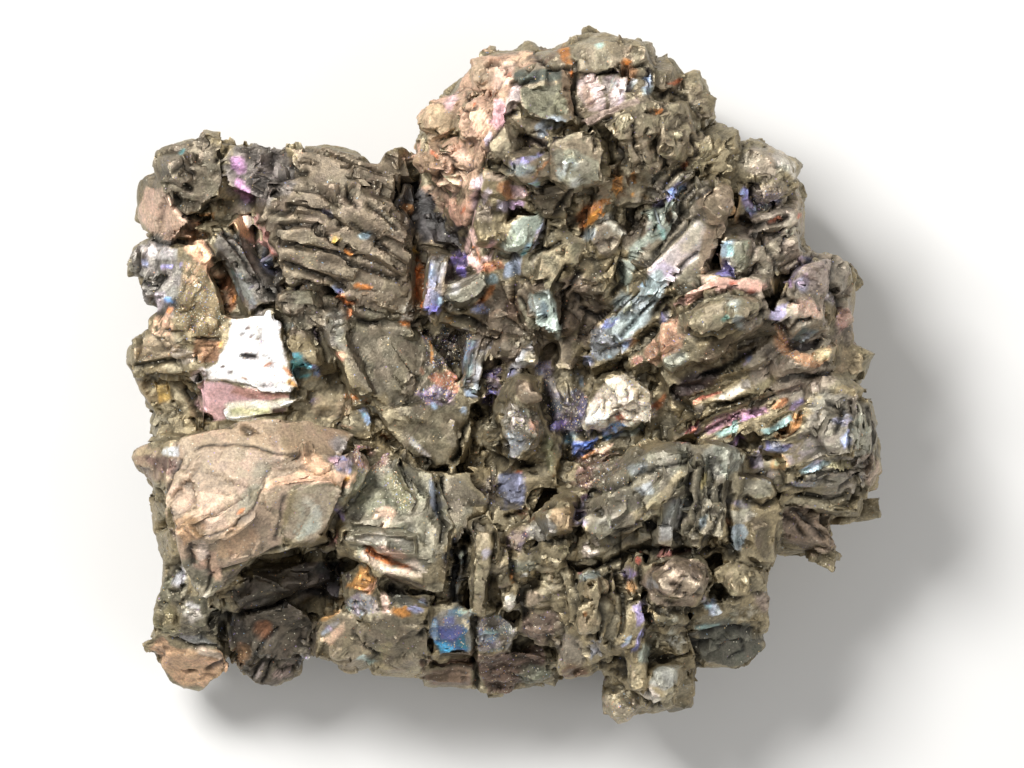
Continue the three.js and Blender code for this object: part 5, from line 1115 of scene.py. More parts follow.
face([(-2, 5.2), (0, 6.5), (1.7, 5.4), (1, 3.4), (-1, 3)], (136, 127, 106), 0.5)
face([(-0.4, 0.6), (2, 3.5), (3.8, 5.6), (4.2, 4), (3.5, 1.4), (1, -0.3)], (174, 177, 176), 0.5, metal=0.6)
film_or_painted_glint(0.5, 0.1, (0.9, 0.5), (168, 172, 216), 20)
stain_or_painted_light(3.5, 2.8, (0.6, 1.2), (198, 188, 160), -10)
crest(9.6, 3.4, (2, 2.4), (130, 120, 98))
film_or_painted_glint(11.4, -0.6, (0.4, 1.4), (170, 190, 206), 10)
face([(1, -0.8), (3.6, -0.2), (5.6, -2.6), (4.6, -4.2), (2, -4.4), (0.6, -3)], (132, 119, 96), 0.8)
stain_or_painted_light(1.8, -8.4, (3.6, 3.6), (126, 122, 104), metal=0.5, glitter=0.12)
stain_or_painted_light(0.4, -11, (1.8, 1.8), (134, 140, 142), metal=0.6, glitter=0.2)
crest(0.6, -6.6, (1.8, 1.6), (176, 170, 156))
crest(3.6, -8, (0.9, 1.2), (190, 150, 124))
stain_or_painted_light(6.6, -12.4, (0.9, 3.4), (132, 132, 98), 4)
face([(-0.6, -15.6), (2.6, -15.4), (3.4, -17.8), (2.8, -20.2), (0.6, -20), (-0.8, -18)], (134, 140, 166),
     0.5, metal=0.7)
stain_or_painted_light(2.2, -15.5, (0.5, 0.3), (226, 130, 50))
stain_or_painted_light(-2, -18, (1.4, 2), (104, 96, 84), glitter=0.2)
sheen([(4, 2), (6.6, 1.8), (7.6, -1.6), (8.4, -4), (6.4, -3.6), (4.8, -0.4)], (134, 128, 146), 0.7,
      glitter=0.25)
sheen([(7.2, -3), (11, -2.4), (12.8, -4.6), (11.2, -8.4), (9, -9.8), (7, -7), (6.2, -5)], (104, 99, 122),
      0.8, glitter=0.3)
film_or_painted_glint(7.8, -7.4, (0.8, 0.7), (158, 136, 216))
film_or_painted_glint(9.4, -9.6, (1.2, 0.9), (126, 160, 170), glitter=0.2)
film_or_painted_glint(12.8, 2.4, (1, 1.2), (150, 166, 206), glitter=0.2)
face([(11, -7.2), (13.6, -3.8), (15, -1.2), (17.4, 0.2), (20, 0.6), (22.8, -1), (23.6, -3.6), (23.8, -6),
      (21, -7.6), (17.6, -8), (14.6, -9), (12, -9.4)], (232, 221, 197), 0.4, metal=0.3, gloss=0.4,
     glitter=0.3)
face([(19.4, 0.4), (22.6, -0.8), (23.4, -3.6), (21.4, -3.8), (20.2, -1.6)], (172, 162, 130), 0.7)
stain_or_painted_light(13.8, -6.4, (1.9, 1.5), (255, 250, 232), 30, metal=0.2)
stain_or_painted_light(17.6, -6.5, (0.8, 0.6), (192, 118, 90), 20)
sheen([(14.2, -8.4), (16.4, -7.4), (18.6, -7.8), (17, -9.7), (15, -10.3)], (124, 168, 224), 0.4)
stain_or_painted_light(19, -8.6, (1.9, 0.6), (192, 202, 184), 28)
stain_or_painted_light(23.6, -4, (0.4, 1.4), (206, 126, 80), -40)
sheen([(10, -10.1), (13.9, -9.9), (13.3, -12.4), (11.6, -13.2), (10, -12)], (94, 132, 226), 0.4)
stain_or_painted_light(14.4, -15, (4.6, 2.8), (134, 106, 92), 30, metal=0.7, glitter=0.2)
for x, y, colour in ((13.2, -12.4, (222, 152, 84)), (15.2, -11.6, (230, 198, 166)),
                     (16.8, -14.8, (238, 178, 90)), (14.6, -14.2, (226, 192, 168)),
                     (13.2, -16, (214, 184, 152)), (12, -18.6, (150, 120, 150))):
    stain_or_painted_light(x, y, (1.5, 0.35), colour, 30)
film_or_painted_glint(11.8, -21.4, (1.8, 2.2), (142, 128, 150), -30)
stain_or_painted_light(5, -21.6, (3, 0.8), (150, 92, 60), -10, into=1)

# Lower right: a hunched mass whose columns hang like folds, with rounded lumps below.
sheaf((25.6, -20, 0.8), (36, -20.6, 0.8), 5, (11, 2.2, 6), 84)
crystal((17.6, -17.6, 1.2), (10, 3, 7), 42)
crystal((20, -22.4, 1.2), (9, 3.4, 7), 40)
crystal((23.4, -17.6, 1.2), (9, 3.4, 7), 44)
crystal((25, -12.4, 1), (7, 4.4, 7), 20)
crystal((13.4, -26.6, 1.2), (4, 3.4, 7), 30)
crystal((8.2, -22.4, 1.2), (4.4, 4.2, 7), 40)
crystal((8.4, -27, 1.2), (4, 3.6, 7), 0)
crystal((34, -12.6, 1), (6, 4, 7), -20)
crystal((40, -17.4, 1), (4.6, 3.6, 7), 0)
crystal((24.6, -32, 1.2), (4.6, 4, 7), 40)
crystal((29.6, -32, 1.2), (4.6, 3.6, 7), -20)
crystal((27, -30.2, 1.2), (4, 3, 7), 10)
crystal((26.4, -37.8, 1.2), (4.4, 4, 7), 10)
crystal((36.4, -32.4, 1.2), (5, 4, 7), 30)
crystal((12.6, -33.6, 1.4), (5, 4.4, 7), 85)
crystal((12.2, -38, 1.4), (5, 4.6, 7), 75)
crystal((9.4, -43.4, 1.2), (6, 5, 7), 60)
crystal((13.2, -42.6, 1.2), (4, 3.4, 7), 30)
sheaf((15, -39, 1), (17.6, -39.4, 1), 3, (8, 1.2, 6), 84)
crystal((19.2, -33.6, 1.2), (3, 2.4, 6), 80)
crystal((20.8, -37.6, 1.2), (4, 2.6, 6), 70)
crystal((19, -41.4, 1.2), (3.4, 1.8, 6), 60)
crystal((21.2, -42.4, 1.2), (5, 2, 6), 75)
crystal((24, -42.4, 1.2), (3.4, 2.6, 7), 80)
crystal((27, -41.8, 1.2), (4, 3.2, 7), 40)
crystal((20.8, -46.6, 1.2), (5, 2.4, 7), 75)
crystal((24.6, -47.4, 1.4), (5.6, 4.4, 7), 0)
crystal((24.4, -50.4, 1.2), (5, 4, 7), 40)
crystal((18, -52, 1.2), (5, 4.4, 7), 60)
crystal((27.6, -52, 1), (4, 3.4, 7), 0)
crystal((35, -42.4, 0.8), (10, 7.4, 6), 20)
crack([(8.6, -29.2), (14, -29.9), (19, -28.6), (24, -27.2), (30, -27.4), (36, -28.8)], 0.7, 2)
crack([(16.4, -25.8), (19.4, -24.2), (23, -23.4)], 0.9, 2)
crack([(28.8, -14), (28.8, -19), (27, -25)], 0.4, 1.4)
crack([(30.6, -13.4), (30.4, -18), (28.6, -24)], 0.35, 1.2)
crack([(32.8, -15), (32.4, -19.4), (29.6, -24.6)], 0.35, 1.2)
crack([(34.8, -16), (34.6, -20), (31, -26)], 0.35, 1.2)
crack([(36.6, -18), (35.9, -21), (35.8, -24), (35.5, -28)], 0.4, 1.3)
crack([(38.6, -18.8), (41, -19.8), (43, -18)], 0.5, 1.3)
crack([(19, -15.4), (21, -14.4), (24, -13.4), (27.6, -12.8)], 0.35, 0.8)
crack([(10.4, -24), (10, -27.4), (9.6, -29)], 0.55, 1.4)
crack([(11.4, -20.4), (10.6, -23.6)])
crack([(4.8, -25), (8, -25.2), (10, -24.4)], 0.4)
crack([(21, -30), (20.6, -33), (23, -35.8), (27, -36.8), (30.6, -36.2), (32.6, -33)], 0.5, 1.4)
crack([(33.4, -34.2), (36.4, -34.8), (39.4, -34.6)], 0.5, 1.3)
crack([(21.8, -36.4), (23, -39), (26, -40.2), (28.8, -39.4)], 0.6, 1.6)
crack([(9.8, -30), (9.8, -35), (9, -39)], 0.5, 1.3)
crack([(15.6, -32), (15.4, -36), (14.6, -40), (12, -40.8)], 0.45, 1.2)
crack([(17, -31), (17.6, -36), (17.4, -41)], 0.4, 1.2)
crack([(6, -41), (6.4, -46)], 0.4)
crack([(15, -45), (18, -43.8), (18.4, -46.6)], 0.6, 1.5)
crack([(22.6, -44.6), (25, -44.8), (28.4, -44)], 0.45, 1.2)
crack([(20, -49.4), (22.4, -52), (27, -52.6)], 0.4, 1.2)
crack([(29.6, -39), (30, -43), (30.4, -46.4)], 0.35)
crack([(30.8, -40.6), (33, -39.8), (36, -39.6), (38.6, -40)], 0.3, 0.5)
crack([(31.8, -43.4), (34, -41.2), (36.8, -41.4), (37, -43.6), (34.6, -44.6)], 0.25, 0.4)
for x, y in ((25.6, -31.6), (27.6, -33.4), (29, -30.8), (23.6, -33.6), (26.2, -35), (30, -33.4)):
    crack([(x, y), (x + 0.9, y - 0.5)], 0.35, 0.7)
habit(16, -21, 45, (8, 2, 0.2), (3, 0.35), 0.1)
habit(24, -20, 60, (9, 2.4, 0.2), (4, 0.25), 0.08)
habit(31, -19, 82, (9, 1.5, 0.3), (3, 0.25), 0.1)
habit(26, -11, 20, (6, 2.4, 0.15), (4, 0.3), 0.08)
habit(40, -24, 85, (7, 2, 0.25), (3, 0.3), 0.1)
habit(28, -32, 10, (4, 2, 0.15), (2.2, 0.5), 0.2)
habit(37, -32, 20, (4, 2.4, 0.2), (3, 0.4), 0.15)
habit(38, -37, 0, (5, 1.4, 0.35), (2, 0.5), 0.25)
habit(35, -42, -15, (9, 1.2, 0.1), (5, 0.12), 0.05)
habit(13, -33, 80, (5, 2, 0.15), (2.6, 0.45), 0.15)
habit(12, -43, 70, (5, 3, 0.15), (4, 0.35))
habit(16.5, -38, 85, (8, 1, 0.4), (3, 0.3), 0.1)
habit(21, -42, 70, (5, 1.4, 0.3), (2, 0.5), 0.2)
habit(25, -49, 30, (5, 2.4, 0.15), (3, 0.4), 0.1)
habit(20, -53, 10, (4, 1.6, 0.25), (1.6, 0.5), 0.35)
habit(8, -23, 0, (4, 2.4, 0.15), (3, 0.3))
stain_or_painted_light(24, -19, (13, 9), (124, 119, 98), 10, metal=0.45)
stain_or_painted_light(25, -12.4, (4.4, 2.4), (126, 124, 106), 10)
stain_or_painted_light(20.4, -13.8, (1.6, 0.7), (140, 147, 142), 20, metal=0.6)
face([(19.4, -16.6), (22.4, -15.6), (22.8, -17.4), (20.6, -17.9)], (168, 174, 172), 0.5, metal=0.6)
face([(18.6, -21), (22, -19.2), (25, -15.8), (27, -14), (27.8, -15), (25.6, -18.4), (24.8, -21),
      (22.6, -22.6), (20, -22.2)], (160, 150, 116))
# A painted glint on the crest.
stain_or_painted_light(22.8, -21.4, (0.9, 0.6), (214, 204, 172), 20)
crest(15.6, -22.4, (2, 1.8), (152, 150, 132), 40)
face([(26.4, -18.4), (28, -18.2), (28.5, -21), (26, -25.2), (24.2, -25.6), (24.2, -23.6), (25.6, -21)],
     (144, 146, 140), 0.4, metal=0.5)
face([(30.5, -21.4), (31.9, -20.7), (31.4, -22.4), (30.3, -23.6)], (168, 186, 188), 0.3, metal=0.7)
stain_or_painted_light(31.2, -15.6, (0.4, 1.2), (192, 180, 120), -10)
stain_or_painted_light(34, -12.8, (3.4, 2.2), (140, 143, 128), -20, metal=0.5)
face([(36.2, -21), (38.4, -20.2), (39.8, -21.4), (39, -23.2), (36.6, -24)], (178, 176, 152), 0.4,
     metal=0.4)
face([(35.9, -24), (38, -24.1), (38.9, -25.4), (37, -28), (35.7, -28.4)], (152, 167, 172), 0.4, metal=0.7)
stain_or_painted_light(41, -25, (1.8, 3.6), (122, 112, 87), 10)
stain_or_painted_light(35.7, -23.4, (0.3, 1), (216, 138, 50))
film_or_painted_glint(37.8, -19.6, (1.2, 0.7), (128, 124, 152), -20)
stain_or_painted_light(26, -27.6, (2.8, 0.5), (152, 96, 84), 4)
stain_or_painted_light(20.7, -29.1, (0.7, 0.5), (226, 116, 92))
face([(21.2, -31.6), (24, -28.8), (28, -28), (31.8, -29.4), (32.2, -32.6), (30, -35.8), (27, -36.2),
      (23, -34.8), (20.8, -33)], (146, 131, 110))
for x, y in ((27.4, -31), (29.8, -31.6), (24.6, -32.4), (26.6, -33.8), (25, -30.2), (29, -34.4)):
    crest(x, y, (1.2, 0.8), (188, 172, 146), -10)
stain_or_painted_light(22.4, -32.6, (0.9, 0.8), (166, 166, 164), metal=0.6)
face([(33.4, -33.6), (35, -31.2), (37.8, -30.2), (38.2, -32), (35.8, -34.2)], (178, 166, 130), 0.5)
sheen([(31.3, -34.6), (32.6, -34.2), (33.8, -36.8), (32.4, -37.2)], (198, 207, 228), 0.4)
stain_or_painted_light(26, -38, (2, 1.6), (104, 99, 76))
stain_or_painted_light(27.4, -37.8, (0.6, 0.8), (178, 176, 154))
stain_or_painted_light(35, -42.4, (5.4, 4.2), (98, 98, 84), -15, metal=0.5)
stain_or_painted_light(31.8, -39.4, (1.8, 0.6), (132, 160, 154), 10, metal=0.7)
stain_or_painted_light(40.6, -36, (1.4, 1.4), (150, 136, 120))
crest(37, -37.6, (2.4, 0.8), (146, 144, 122), 10)
stain_or_painted_light(19.2, -33.6, (0.9, 1.2), (192, 144, 82))
film_or_painted_glint(19, -31.4, (1.3, 0.8), (168, 150, 196), glitter=0.2)
face([(19.2, -36.4), (21.8, -35.8), (21.8, -38.4), (20.2, -39.2)], (154, 144, 184), metal=0.7)
film_or_painted_glint(19, -41.3, (0.6, 1.2), (190, 206, 222), -30)
film_or_painted_glint(21.1, -41.2, (0.7, 2), (160, 150, 206), -18)
stain_or_painted_light(22, -43.6, (0.6, 1.4), (170, 182, 168), -18)
stain_or_painted_light(20.8, -46.5, (0.7, 1.9), (184, 170, 134), -10)
crest(26.8, -41.8, (1.5, 1.2), (162, 164, 150), 20)
crest(23.7, -42, (0.9, 1.2), (138, 133, 106))
face([(22.4, -48), (24, -45.8), (26.8, -46.2), (27.2, -48.4), (24.6, -49.7)], (168, 171, 158), 0.5,
     metal=0.5)
face([(20.6, -49.6), (22.4, -48.4), (24.6, -51.6), (23.6, -52.2)], (192, 188, 170), 0.4, metal=0.4)
face([(24.6, -49.8), (26.8, -48.9), (26.6, -51), (24.6, -52)], (160, 152, 122), 0.4)
stain_or_painted_light(18, -52.6, (3.6, 2.6), (146, 138, 114), glitter=0.15)
stain_or_painted_light(27, -53, (2.4, 1.4), (108, 103, 82))
face([(11, -32.6), (14.6, -31.8), (15.6, -34), (14, -37.6), (14.4, -39), (11.4, -40.2), (9.6, -38.4),
      (11.6, -36)], (156, 143, 110))
stain_or_painted_light(12, -37.2, (0.6, 0.5), (172, 122, 66))
stain_or_painted_light(12.6, -31.2, (1.7, 0.6), (152, 166, 160), metal=0.6)
stain_or_painted_light(9, -43, (2.4, 2.6), (140, 132, 112), metal=0.4)
face([(11.6, -42), (14.6, -40.9), (14.8, -43), (12.4, -44.2)], (142, 144, 148), 0.5, metal=0.6)
stain_or_painted_light(10, -46.2, (2.6, 1.3), (112, 92, 70))
crest(13, -26.8, (1.4, 1.3), (190, 181, 170))
face([(6.6, -20.8), (10, -20.5), (10.4, -23.4), (8.4, -24.8), (6.2, -23.4)], (160, 139, 102))
stain_or_painted_light(5.4, -24, (1.6, 2), (136, 135, 124))
crest(8.6, -27, (1.4, 1.3), (164, 157, 120))
stain_or_painted_light(11.2, -30.4, (0.5, 0.3), (226, 130, 140))

# ---------------------------------------------------------------------------------------------
# The small crystals: laths, blocks and blunt lumps a few millimetres across, set all over the
# large ones and grown together with them. Each takes after the habit of its place.
PLACES_TRIED = 1100
UNDERSIDE = -0.5
ways = np.array(habits)


def seats():
    """Random places on the ore, spread evenly over its area, with the way each one faces."""
    bmesh.ops.triangulate(ore, faces=ore.faces)
    open_faces = [one for one in ore.faces if one.normal.z > UNDERSIDE]
    areas = np.array([one.calc_area() for one in open_faces])
    for picked in chance.choice(len(open_faces), PLACES_TRIED, p=areas / areas.sum()):
        one, two, three = (corner.co for corner in open_faces[picked].verts)
        share, other = chance.random(2)
        if share + other > 1:
            share, other = 1 - share, 1 - other
        seat = one + (two - one) * share + (three - one) * other
        yield seat, open_faces[picked].normal.copy()


def grow(seat, facing, way):
    """One small crystal on its seat, its length along the way that the habit runs."""
    turn, length, width, proud, size, bulk = way
    made = bmesh.ops.create_cube(ore, size=1)["verts"]
    if chance.random() < proud / (proud + bulk):
        shape = Vector((length * chance.uniform(0.5, 0.9), width * chance.uniform(1.2, 2), 4))
        stand = proud * chance.uniform(0.8, 2)
        stray = chance.normal(0, 8)
    else:
        shape = Vector((size * chance.uniform(1, 1.7), size * chance.uniform(0.8, 1.2), 5))
        stand = bulk * chance.uniform(0.8, 2.4)
        stray = chance.normal(0, 30)
    taper = chance.uniform(0.6, 0.9)
    for corner in made:
        reach = taper if corner.co.z > 0 else 1
        corner.co.x *= reach * chance.uniform(0.85, 1.15)
        corner.co.y *= reach * chance.uniform(0.85, 1.15)
        corner.co = corner.co * shape + Vector((0, 0, stand - shape.z / 2))
    upright = facing + 0.35 * Vector((0, 0, 1)) + 0.14 * Vector(chance.normal(0, 1, 3))
    upright.normalize()
    along = Vector((math.cos(turn), math.sin(turn), 0))
    across = upright.cross(along).normalized()
    axes = Matrix((across.cross(upright), across, upright)).transposed().to_4x4()
    spin = Matrix.Rotation(math.radians(stray), 4, "Z")
    bmesh.ops.transform(ore, matrix=Matrix.Translation(seat) @ axes @ spin, verts=made)


# Low crystals close the narrow gaps between the large ones, a few millimetres down.
GAP_STEP = 2.0
GAP_REACH = 2
GAP_DEPTH = 4.2
RIM_HEIGHT = 12
lattice = np.arange(-72, 72.1, GAP_STEP)
heights = np.array([[top_of(x, y) for x in lattice] for y in lattice])


def spread_over(levels, pick):
    """For each place on the lattice, the highest or the lowest level near it."""
    padded = np.pad(levels, GAP_REACH, mode="edge")
    windows = np.lib.stride_tricks.sliding_window_view(padded, (2 * GAP_REACH + 1,) * 2)
    return pick(windows, axis=(2, 3))


closed = spread_over(spread_over(heights, np.max), np.min)
amid_ore = spread_over((heights > RIM_HEIGHT).astype(float), np.mean) > 0.8
for row, column in zip(*np.nonzero((closed - heights > GAP_DEPTH + 1.5) & amid_ore)):
    x = lattice[column] + chance.uniform(-0.5, 0.5)
    y = lattice[row] + chance.uniform(-0.5, 0.5)
    made = bmesh.ops.create_cube(ore, size=1)["verts"]
    tall = closed[row, column] - GAP_DEPTH - chance.uniform(0, 1.5)
    for corner in made:
        corner.co *= chance.uniform(0.85, 1.05)
    pose = Matrix.Translation((x, y, tall / 2)) @ Matrix.Rotation(chance.uniform(0, 3), 4, "Z")
    pose = pose @ Matrix.Diagonal((3.4, 3, tall, 1))
    bmesh.ops.transform(ore, matrix=pose, verts=made)
taken = []
for seat, facing in list(seats()):
    gaps = np.hypot(ways[:, 0] - seat.x, ways[:, 1] - seat.y)
    way = ways[gaps.argmin(), 2:-1]
    proud, size, bulk = way[-3:]
    if chance.random() > (proud + bulk - 0.3) / 0.5:
        continue
    if any((seat - other).length < 1.1 * size for other in taken):
        continue
    taken.append(seat)
    grow(seat, facing, way)

# ---------------------------------------------------------------------------------------------
# The fused cluster: the crystals grown into one skin, then broken, cracked and weathered all
# over, with shade and highlights painted into its colour. Its grain follows the habits above.
VOXEL = 0.4
GRIT_SIZE = 1.8
MOST_RISE = 1.6
CREASE_DEPTH = 0.25
WEAR = 0.5
raw = bpy.data.meshes.new("raw_ore")
ore.to_mesh(raw)
ore.free()
lump = bpy.data.objects.new("raw_ore", raw)
bpy.context.collection.objects.link(lump)
fuse = lump.modifiers.new("fuse", "REMESH")
fuse.mode = "VOXEL"
fuse.voxel_size = VOXEL
fused = bpy.data.meshes.new_from_object(
    lump.evaluated_get(bpy.context.evaluated_depsgraph_get())
)
bpy.data.objects.remove(lump)
count = len(fused.vertices)


def numbers(cells, salt):
    """Repeatable random numbers from 0 to 1, three for each whole-numbered cell."""
    mixed = cells[:, 0] * 73856093 ^ cells[:, 1] * 19349663 ^ cells[:, 2] * 83492791
    mixed = (mixed ^ salt * 2654435761) & 0xFFFFFFFF
    mixed = ((mixed ^ mixed >> 15) * 1274126177) & 0xFFFFFFFF
    mixed = ((mixed ^ mixed >> 13) * 1103515245) & 0xFFFFFFFF
    mixed ^= mixed >> 16
    return np.stack([mixed >> shift & 1023 for shift in (0, 10, 20)], axis=1) / 1023


def drift(points, wave, salt):
    """Smooth noise from -1 to 1, three of a kind, with the given wavelength."""
    scaled = points / wave
    cells = np.floor(scaled).astype(np.int64)
    part = scaled - cells
    part = part * part * part * (part * (part * 6 - 15) + 10)
    total = np.zeros((len(points), 3))
    for corner in itertools.product((0, 1), repeat=3):
        weight = np.prod(np.where(corner, part, 1 - part), axis=1)
        total += weight[:, None] * numbers(cells + corner, salt)
    return 2 * total - 1


def cells_of(scaled, salt):
    """The irregular cell that each point is in, and how near it is to its cell's border."""
    home = np.floor(scaled - 0.5).astype(np.int64)
    best = np.full(len(scaled), 9.0)
    second = np.full(len(scaled), 9.0)
    cell = np.zeros_like(home)
    for step in itertools.product((0, 1), repeat=3):
        tried = home + step
        away = scaled - tried - 0.5 - 0.8 * (numbers(tried, salt) - 0.5)
        far = np.einsum("ij,ij->i", away, away)
        nearer = far < best
        second = np.where(nearer, best, np.minimum(second, far))
        best = np.where(nearer, far, best)
        cell[nearer] = tried[nearer]
    return cell, np.sqrt(second) - np.sqrt(best)


def cleave(points, facing, cell, salt, hold, lean, ledge):
    """Flattens each cell's face by the share hold, then leans it and steps it up or down.
    lean has a size for each axis; ledge is in millimetres. Gives the points and their faces' ways."""
    largest = np.abs(facing).argmax(axis=1)
    side = largest * 2 + (np.take_along_axis(facing, largest[:, None], 1)[:, 0] > 0)
    mark = (cell[:, 0] * 4099 + cell[:, 1]) * 4099 + cell[:, 2]
    _, first, group = np.unique(mark * 6 + side, return_index=True, return_inverse=True)
    middle = np.stack([np.bincount(group, points[:, axis]) for axis in range(3)], axis=1)
    middle /= np.bincount(group)[:, None]
    way = np.stack([np.bincount(group, facing[:, axis]) for axis in range(3)], axis=1)
    way /= np.linalg.norm(way, axis=1, keepdims=True) + 1e-9
    luck = numbers(np.column_stack([cell[first, :2], cell[first, 2] * 6 + side[first]]), salt) * 2 - 1
    way = way[group] + luck[group] * lean
    way /= np.linalg.norm(way, axis=1, keepdims=True)
    rise = ((middle[group] - points) * way).sum(axis=1)
    step = luck[group].sum(axis=1) / 2 * ledge
    return points + way * (np.clip(rise * hold, -MOST_RISE, MOST_RISE) + step)[:, None], way


def read(name):
    """What each of the skin's vertices has under the given name, as an array of rows."""
    values = np.empty(count * 3)
    fused.vertices.foreach_get(name, values)
    return values.reshape(-1, 3)


place = read("co")
normal = read("normal")

# Large crystals bend a little as they grow.
grown = place + drift(place, wave=9, salt=31) + drift(place, wave=4, salt=32) * 0.4

# Each point takes the habit nearest to it in plan, across ragged borders.
ragged = place[:, :2] + 0.9 * drift(place, wave=2.6, salt=51)[:, :2]
nearest = np.empty(count, np.int64)
AT_ONCE = 50000
for start in range(0, count, AT_ONCE):
    part = ragged[start : start + AT_ONCE]
    gaps = ((part[:, None, :] - ways[None, :, :2]) ** 2).sum(axis=2)
    nearest[start : start + AT_ONCE] = gaps.argmin(axis=1)
turn, length, width, proud, size, bulk, grain = ways[nearest, 2:].T
along = np.stack([np.cos(turn), np.sin(turn), 0 * turn], axis=1)
across = np.stack([-np.sin(turn), np.cos(turn), 0 * turn], axis=1)
up = np.cross(along, across)

# They break into blocks, the blocks into laths, and the laths into grains.
shift = nearest[:, None] * 5.3
block_cell, block_edge = cells_of(grown / (1.7 * size[:, None]) + shift, salt=201)
grown, facing = cleave(
    grown, normal, block_cell, salt=211, hold=0.75, lean=(0.55 * bulk)[:, None], ledge=0.8 * bulk
)
local = np.stack(
    [
        (grown * along).sum(axis=1) / length,
        (grown * across).sum(axis=1) / width,
        (grown * up).sum(axis=1) / (1.5 * width),
    ],
    axis=1,
)
lath_cell, lath_edge = cells_of(local + shift, salt=101)
lean = (0.6 * proud)[:, None] * np.abs(across)
grown, facing = cleave(grown, facing, lath_cell, salt=111, hold=0.6, lean=lean, ledge=0.9 * proud)
grit_cell, _ = cells_of(grown / GRIT_SIZE, salt=301)
lean = (0.9 * grain)[:, None]
grown, facing = cleave(grown, facing, grit_cell, salt=311, hold=0.5, lean=lean, ledge=0.4 * grain)
crease = np.clip(1 - lath_edge / 0.2, 0, 1) * np.clip(proud / 0.35, 0, 1) * 0.6
crease = np.clip(crease + np.clip(1 - block_edge / 0.14, 0, 1) * 0.7, 0, 1)
grown -= facing * (CREASE_DEPTH * crease * (proud + bulk))[:, None]


# Cracks run across all of them.
def gap_to(way, x, y):
    """How far each point is from a bent line, in plan."""
    least = np.full(len(x), 99.0)
    for (ax, ay), (bx, by) in zip(way, way[1:]):
        run, climb = bx - ax, by - ay
        share = np.clip(((x - ax) * run + (y - ay) * climb) / (run * run + climb * climb), 0, 1)
        least = np.minimum(least, np.hypot(x - ax - share * run, y - ay - share * climb))
    return least


def near_box(way, margin):
    """Which points are in or near the box round the given places, in plan."""
    low, high = np.min(way, axis=0) - margin, np.max(way, axis=0) + margin
    return ((place[:, :2] > low) & (place[:, :2] < high)).all(axis=1)


# Only what faces up and isn't far below the highest place beside it can be cracked or stained.
PLOT = 1.5
PLOTS = 200
CORNER = -80
MARGIN = 1.5
plot = ((place[:, :2] - CORNER) / PLOT).astype(int) @ (PLOTS, 1)
highest = np.zeros(PLOTS**2)
np.maximum.at(highest, plot, place[:, 2])
facing_up = np.clip((normal[:, 2] + 0.25) / 0.4, 0, 1)
facing_up *= np.clip((8 - highest[plot] + place[:, 2]) / 5, 0, 1)
shaken = place[:, :2] + 0.22 * drift(place, wave=1.6, salt=71)[:, :2]
cracked = np.zeros(count)
for way, half_width, depth in cracks:
    close = near_box(way, MARGIN)
    opening = np.clip(1 - gap_to(way, *shaken[close].T) / (half_width + 0.15), 0, 1)
    opening *= facing_up[close]
    grown[close] -= facing[close] * (depth * opening)[:, None]
    cracked[close] = np.maximum(cracked[close], opening)

# Nothing moves where the cluster rests.
free = np.clip((place[:, 2] - 0.5) / 3, 0, 1)[:, None]
grown = place + (grown - place) * free
grown[:, 2] = np.maximum(grown[:, 2], 0)

# Edges wear a little, and how hollow each place is says where dirt, tarnish and painted shade gather.
ends = np.empty(2 * len(fused.edges), np.int64)
fused.edges.foreach_get("vertices", ends)
opposite = ends.reshape(-1, 2)[:, ::-1].ravel()
neighbours = np.bincount(ends, minlength=count)[:, None]


def worn(points, times):
    """The points after each has gone to the middle of its neighbours so many times."""
    for _ in range(times):
        sums = [np.bincount(ends, points[opposite, axis], count) for axis in range(3)]
        points = np.stack(sums, axis=1) / neighbours
    return points


grown += (worn(grown, 2) - grown) * WEAR * free
fine_hollow = ((worn(grown, 3) - grown) * facing).sum(axis=1)
broad_hollow = ((worn(grown, 30) - grown) * facing).sum(axis=1)

# The tint: a grey-olive ground, then every stain, painted highlight, painted reflection, painted glint
# and painted shade in turn, with ragged edges. A stain more metallic than FILM is a thin film, which
# is patchy and shimmers; one less metallic is warmer.
GROUND = (142, 130, 104)
BARE_METAL = 0.65
BARE_GLOSS = 0.42
BARE_PAINTED_GLINTS = 0.02
FILM = 0.75
MOST_METAL = 0.5
FILM_SHIMMER = 0.16
PLAIN_SHIMMER = 0.03
WARMTH = (1.05, 0.98, 0.96)
VIVIDNESS = 0.84
PAINTED_GLINTS_SHOWN = 0.4
CRACK_PAINTED_SHADE = 0.72


def linear(colour):
    """sRGB bytes as linear numbers."""
    share = np.array(colour) / 255
    return np.where(share <= 0.04045, share / 12.92, ((share + 0.055) / 1.055) ** 2.4)


def inside(corners, x, y):
    """Whether each point is inside the polygon, in plan."""
    within = np.zeros(len(x), bool)
    for (ax, ay), (bx, by) in zip(corners, corners[1:] + corners[:1]):
        if ay != by:
            within ^= ((ay > y) != (by > y)) & (x < ax + (y - ay) * (bx - ax) / (by - ay))
    return within


tint = np.tile(linear(GROUND), (count, 1))
metal = np.full(count, BARE_METAL)
gloss = np.full(count, BARE_GLOSS)
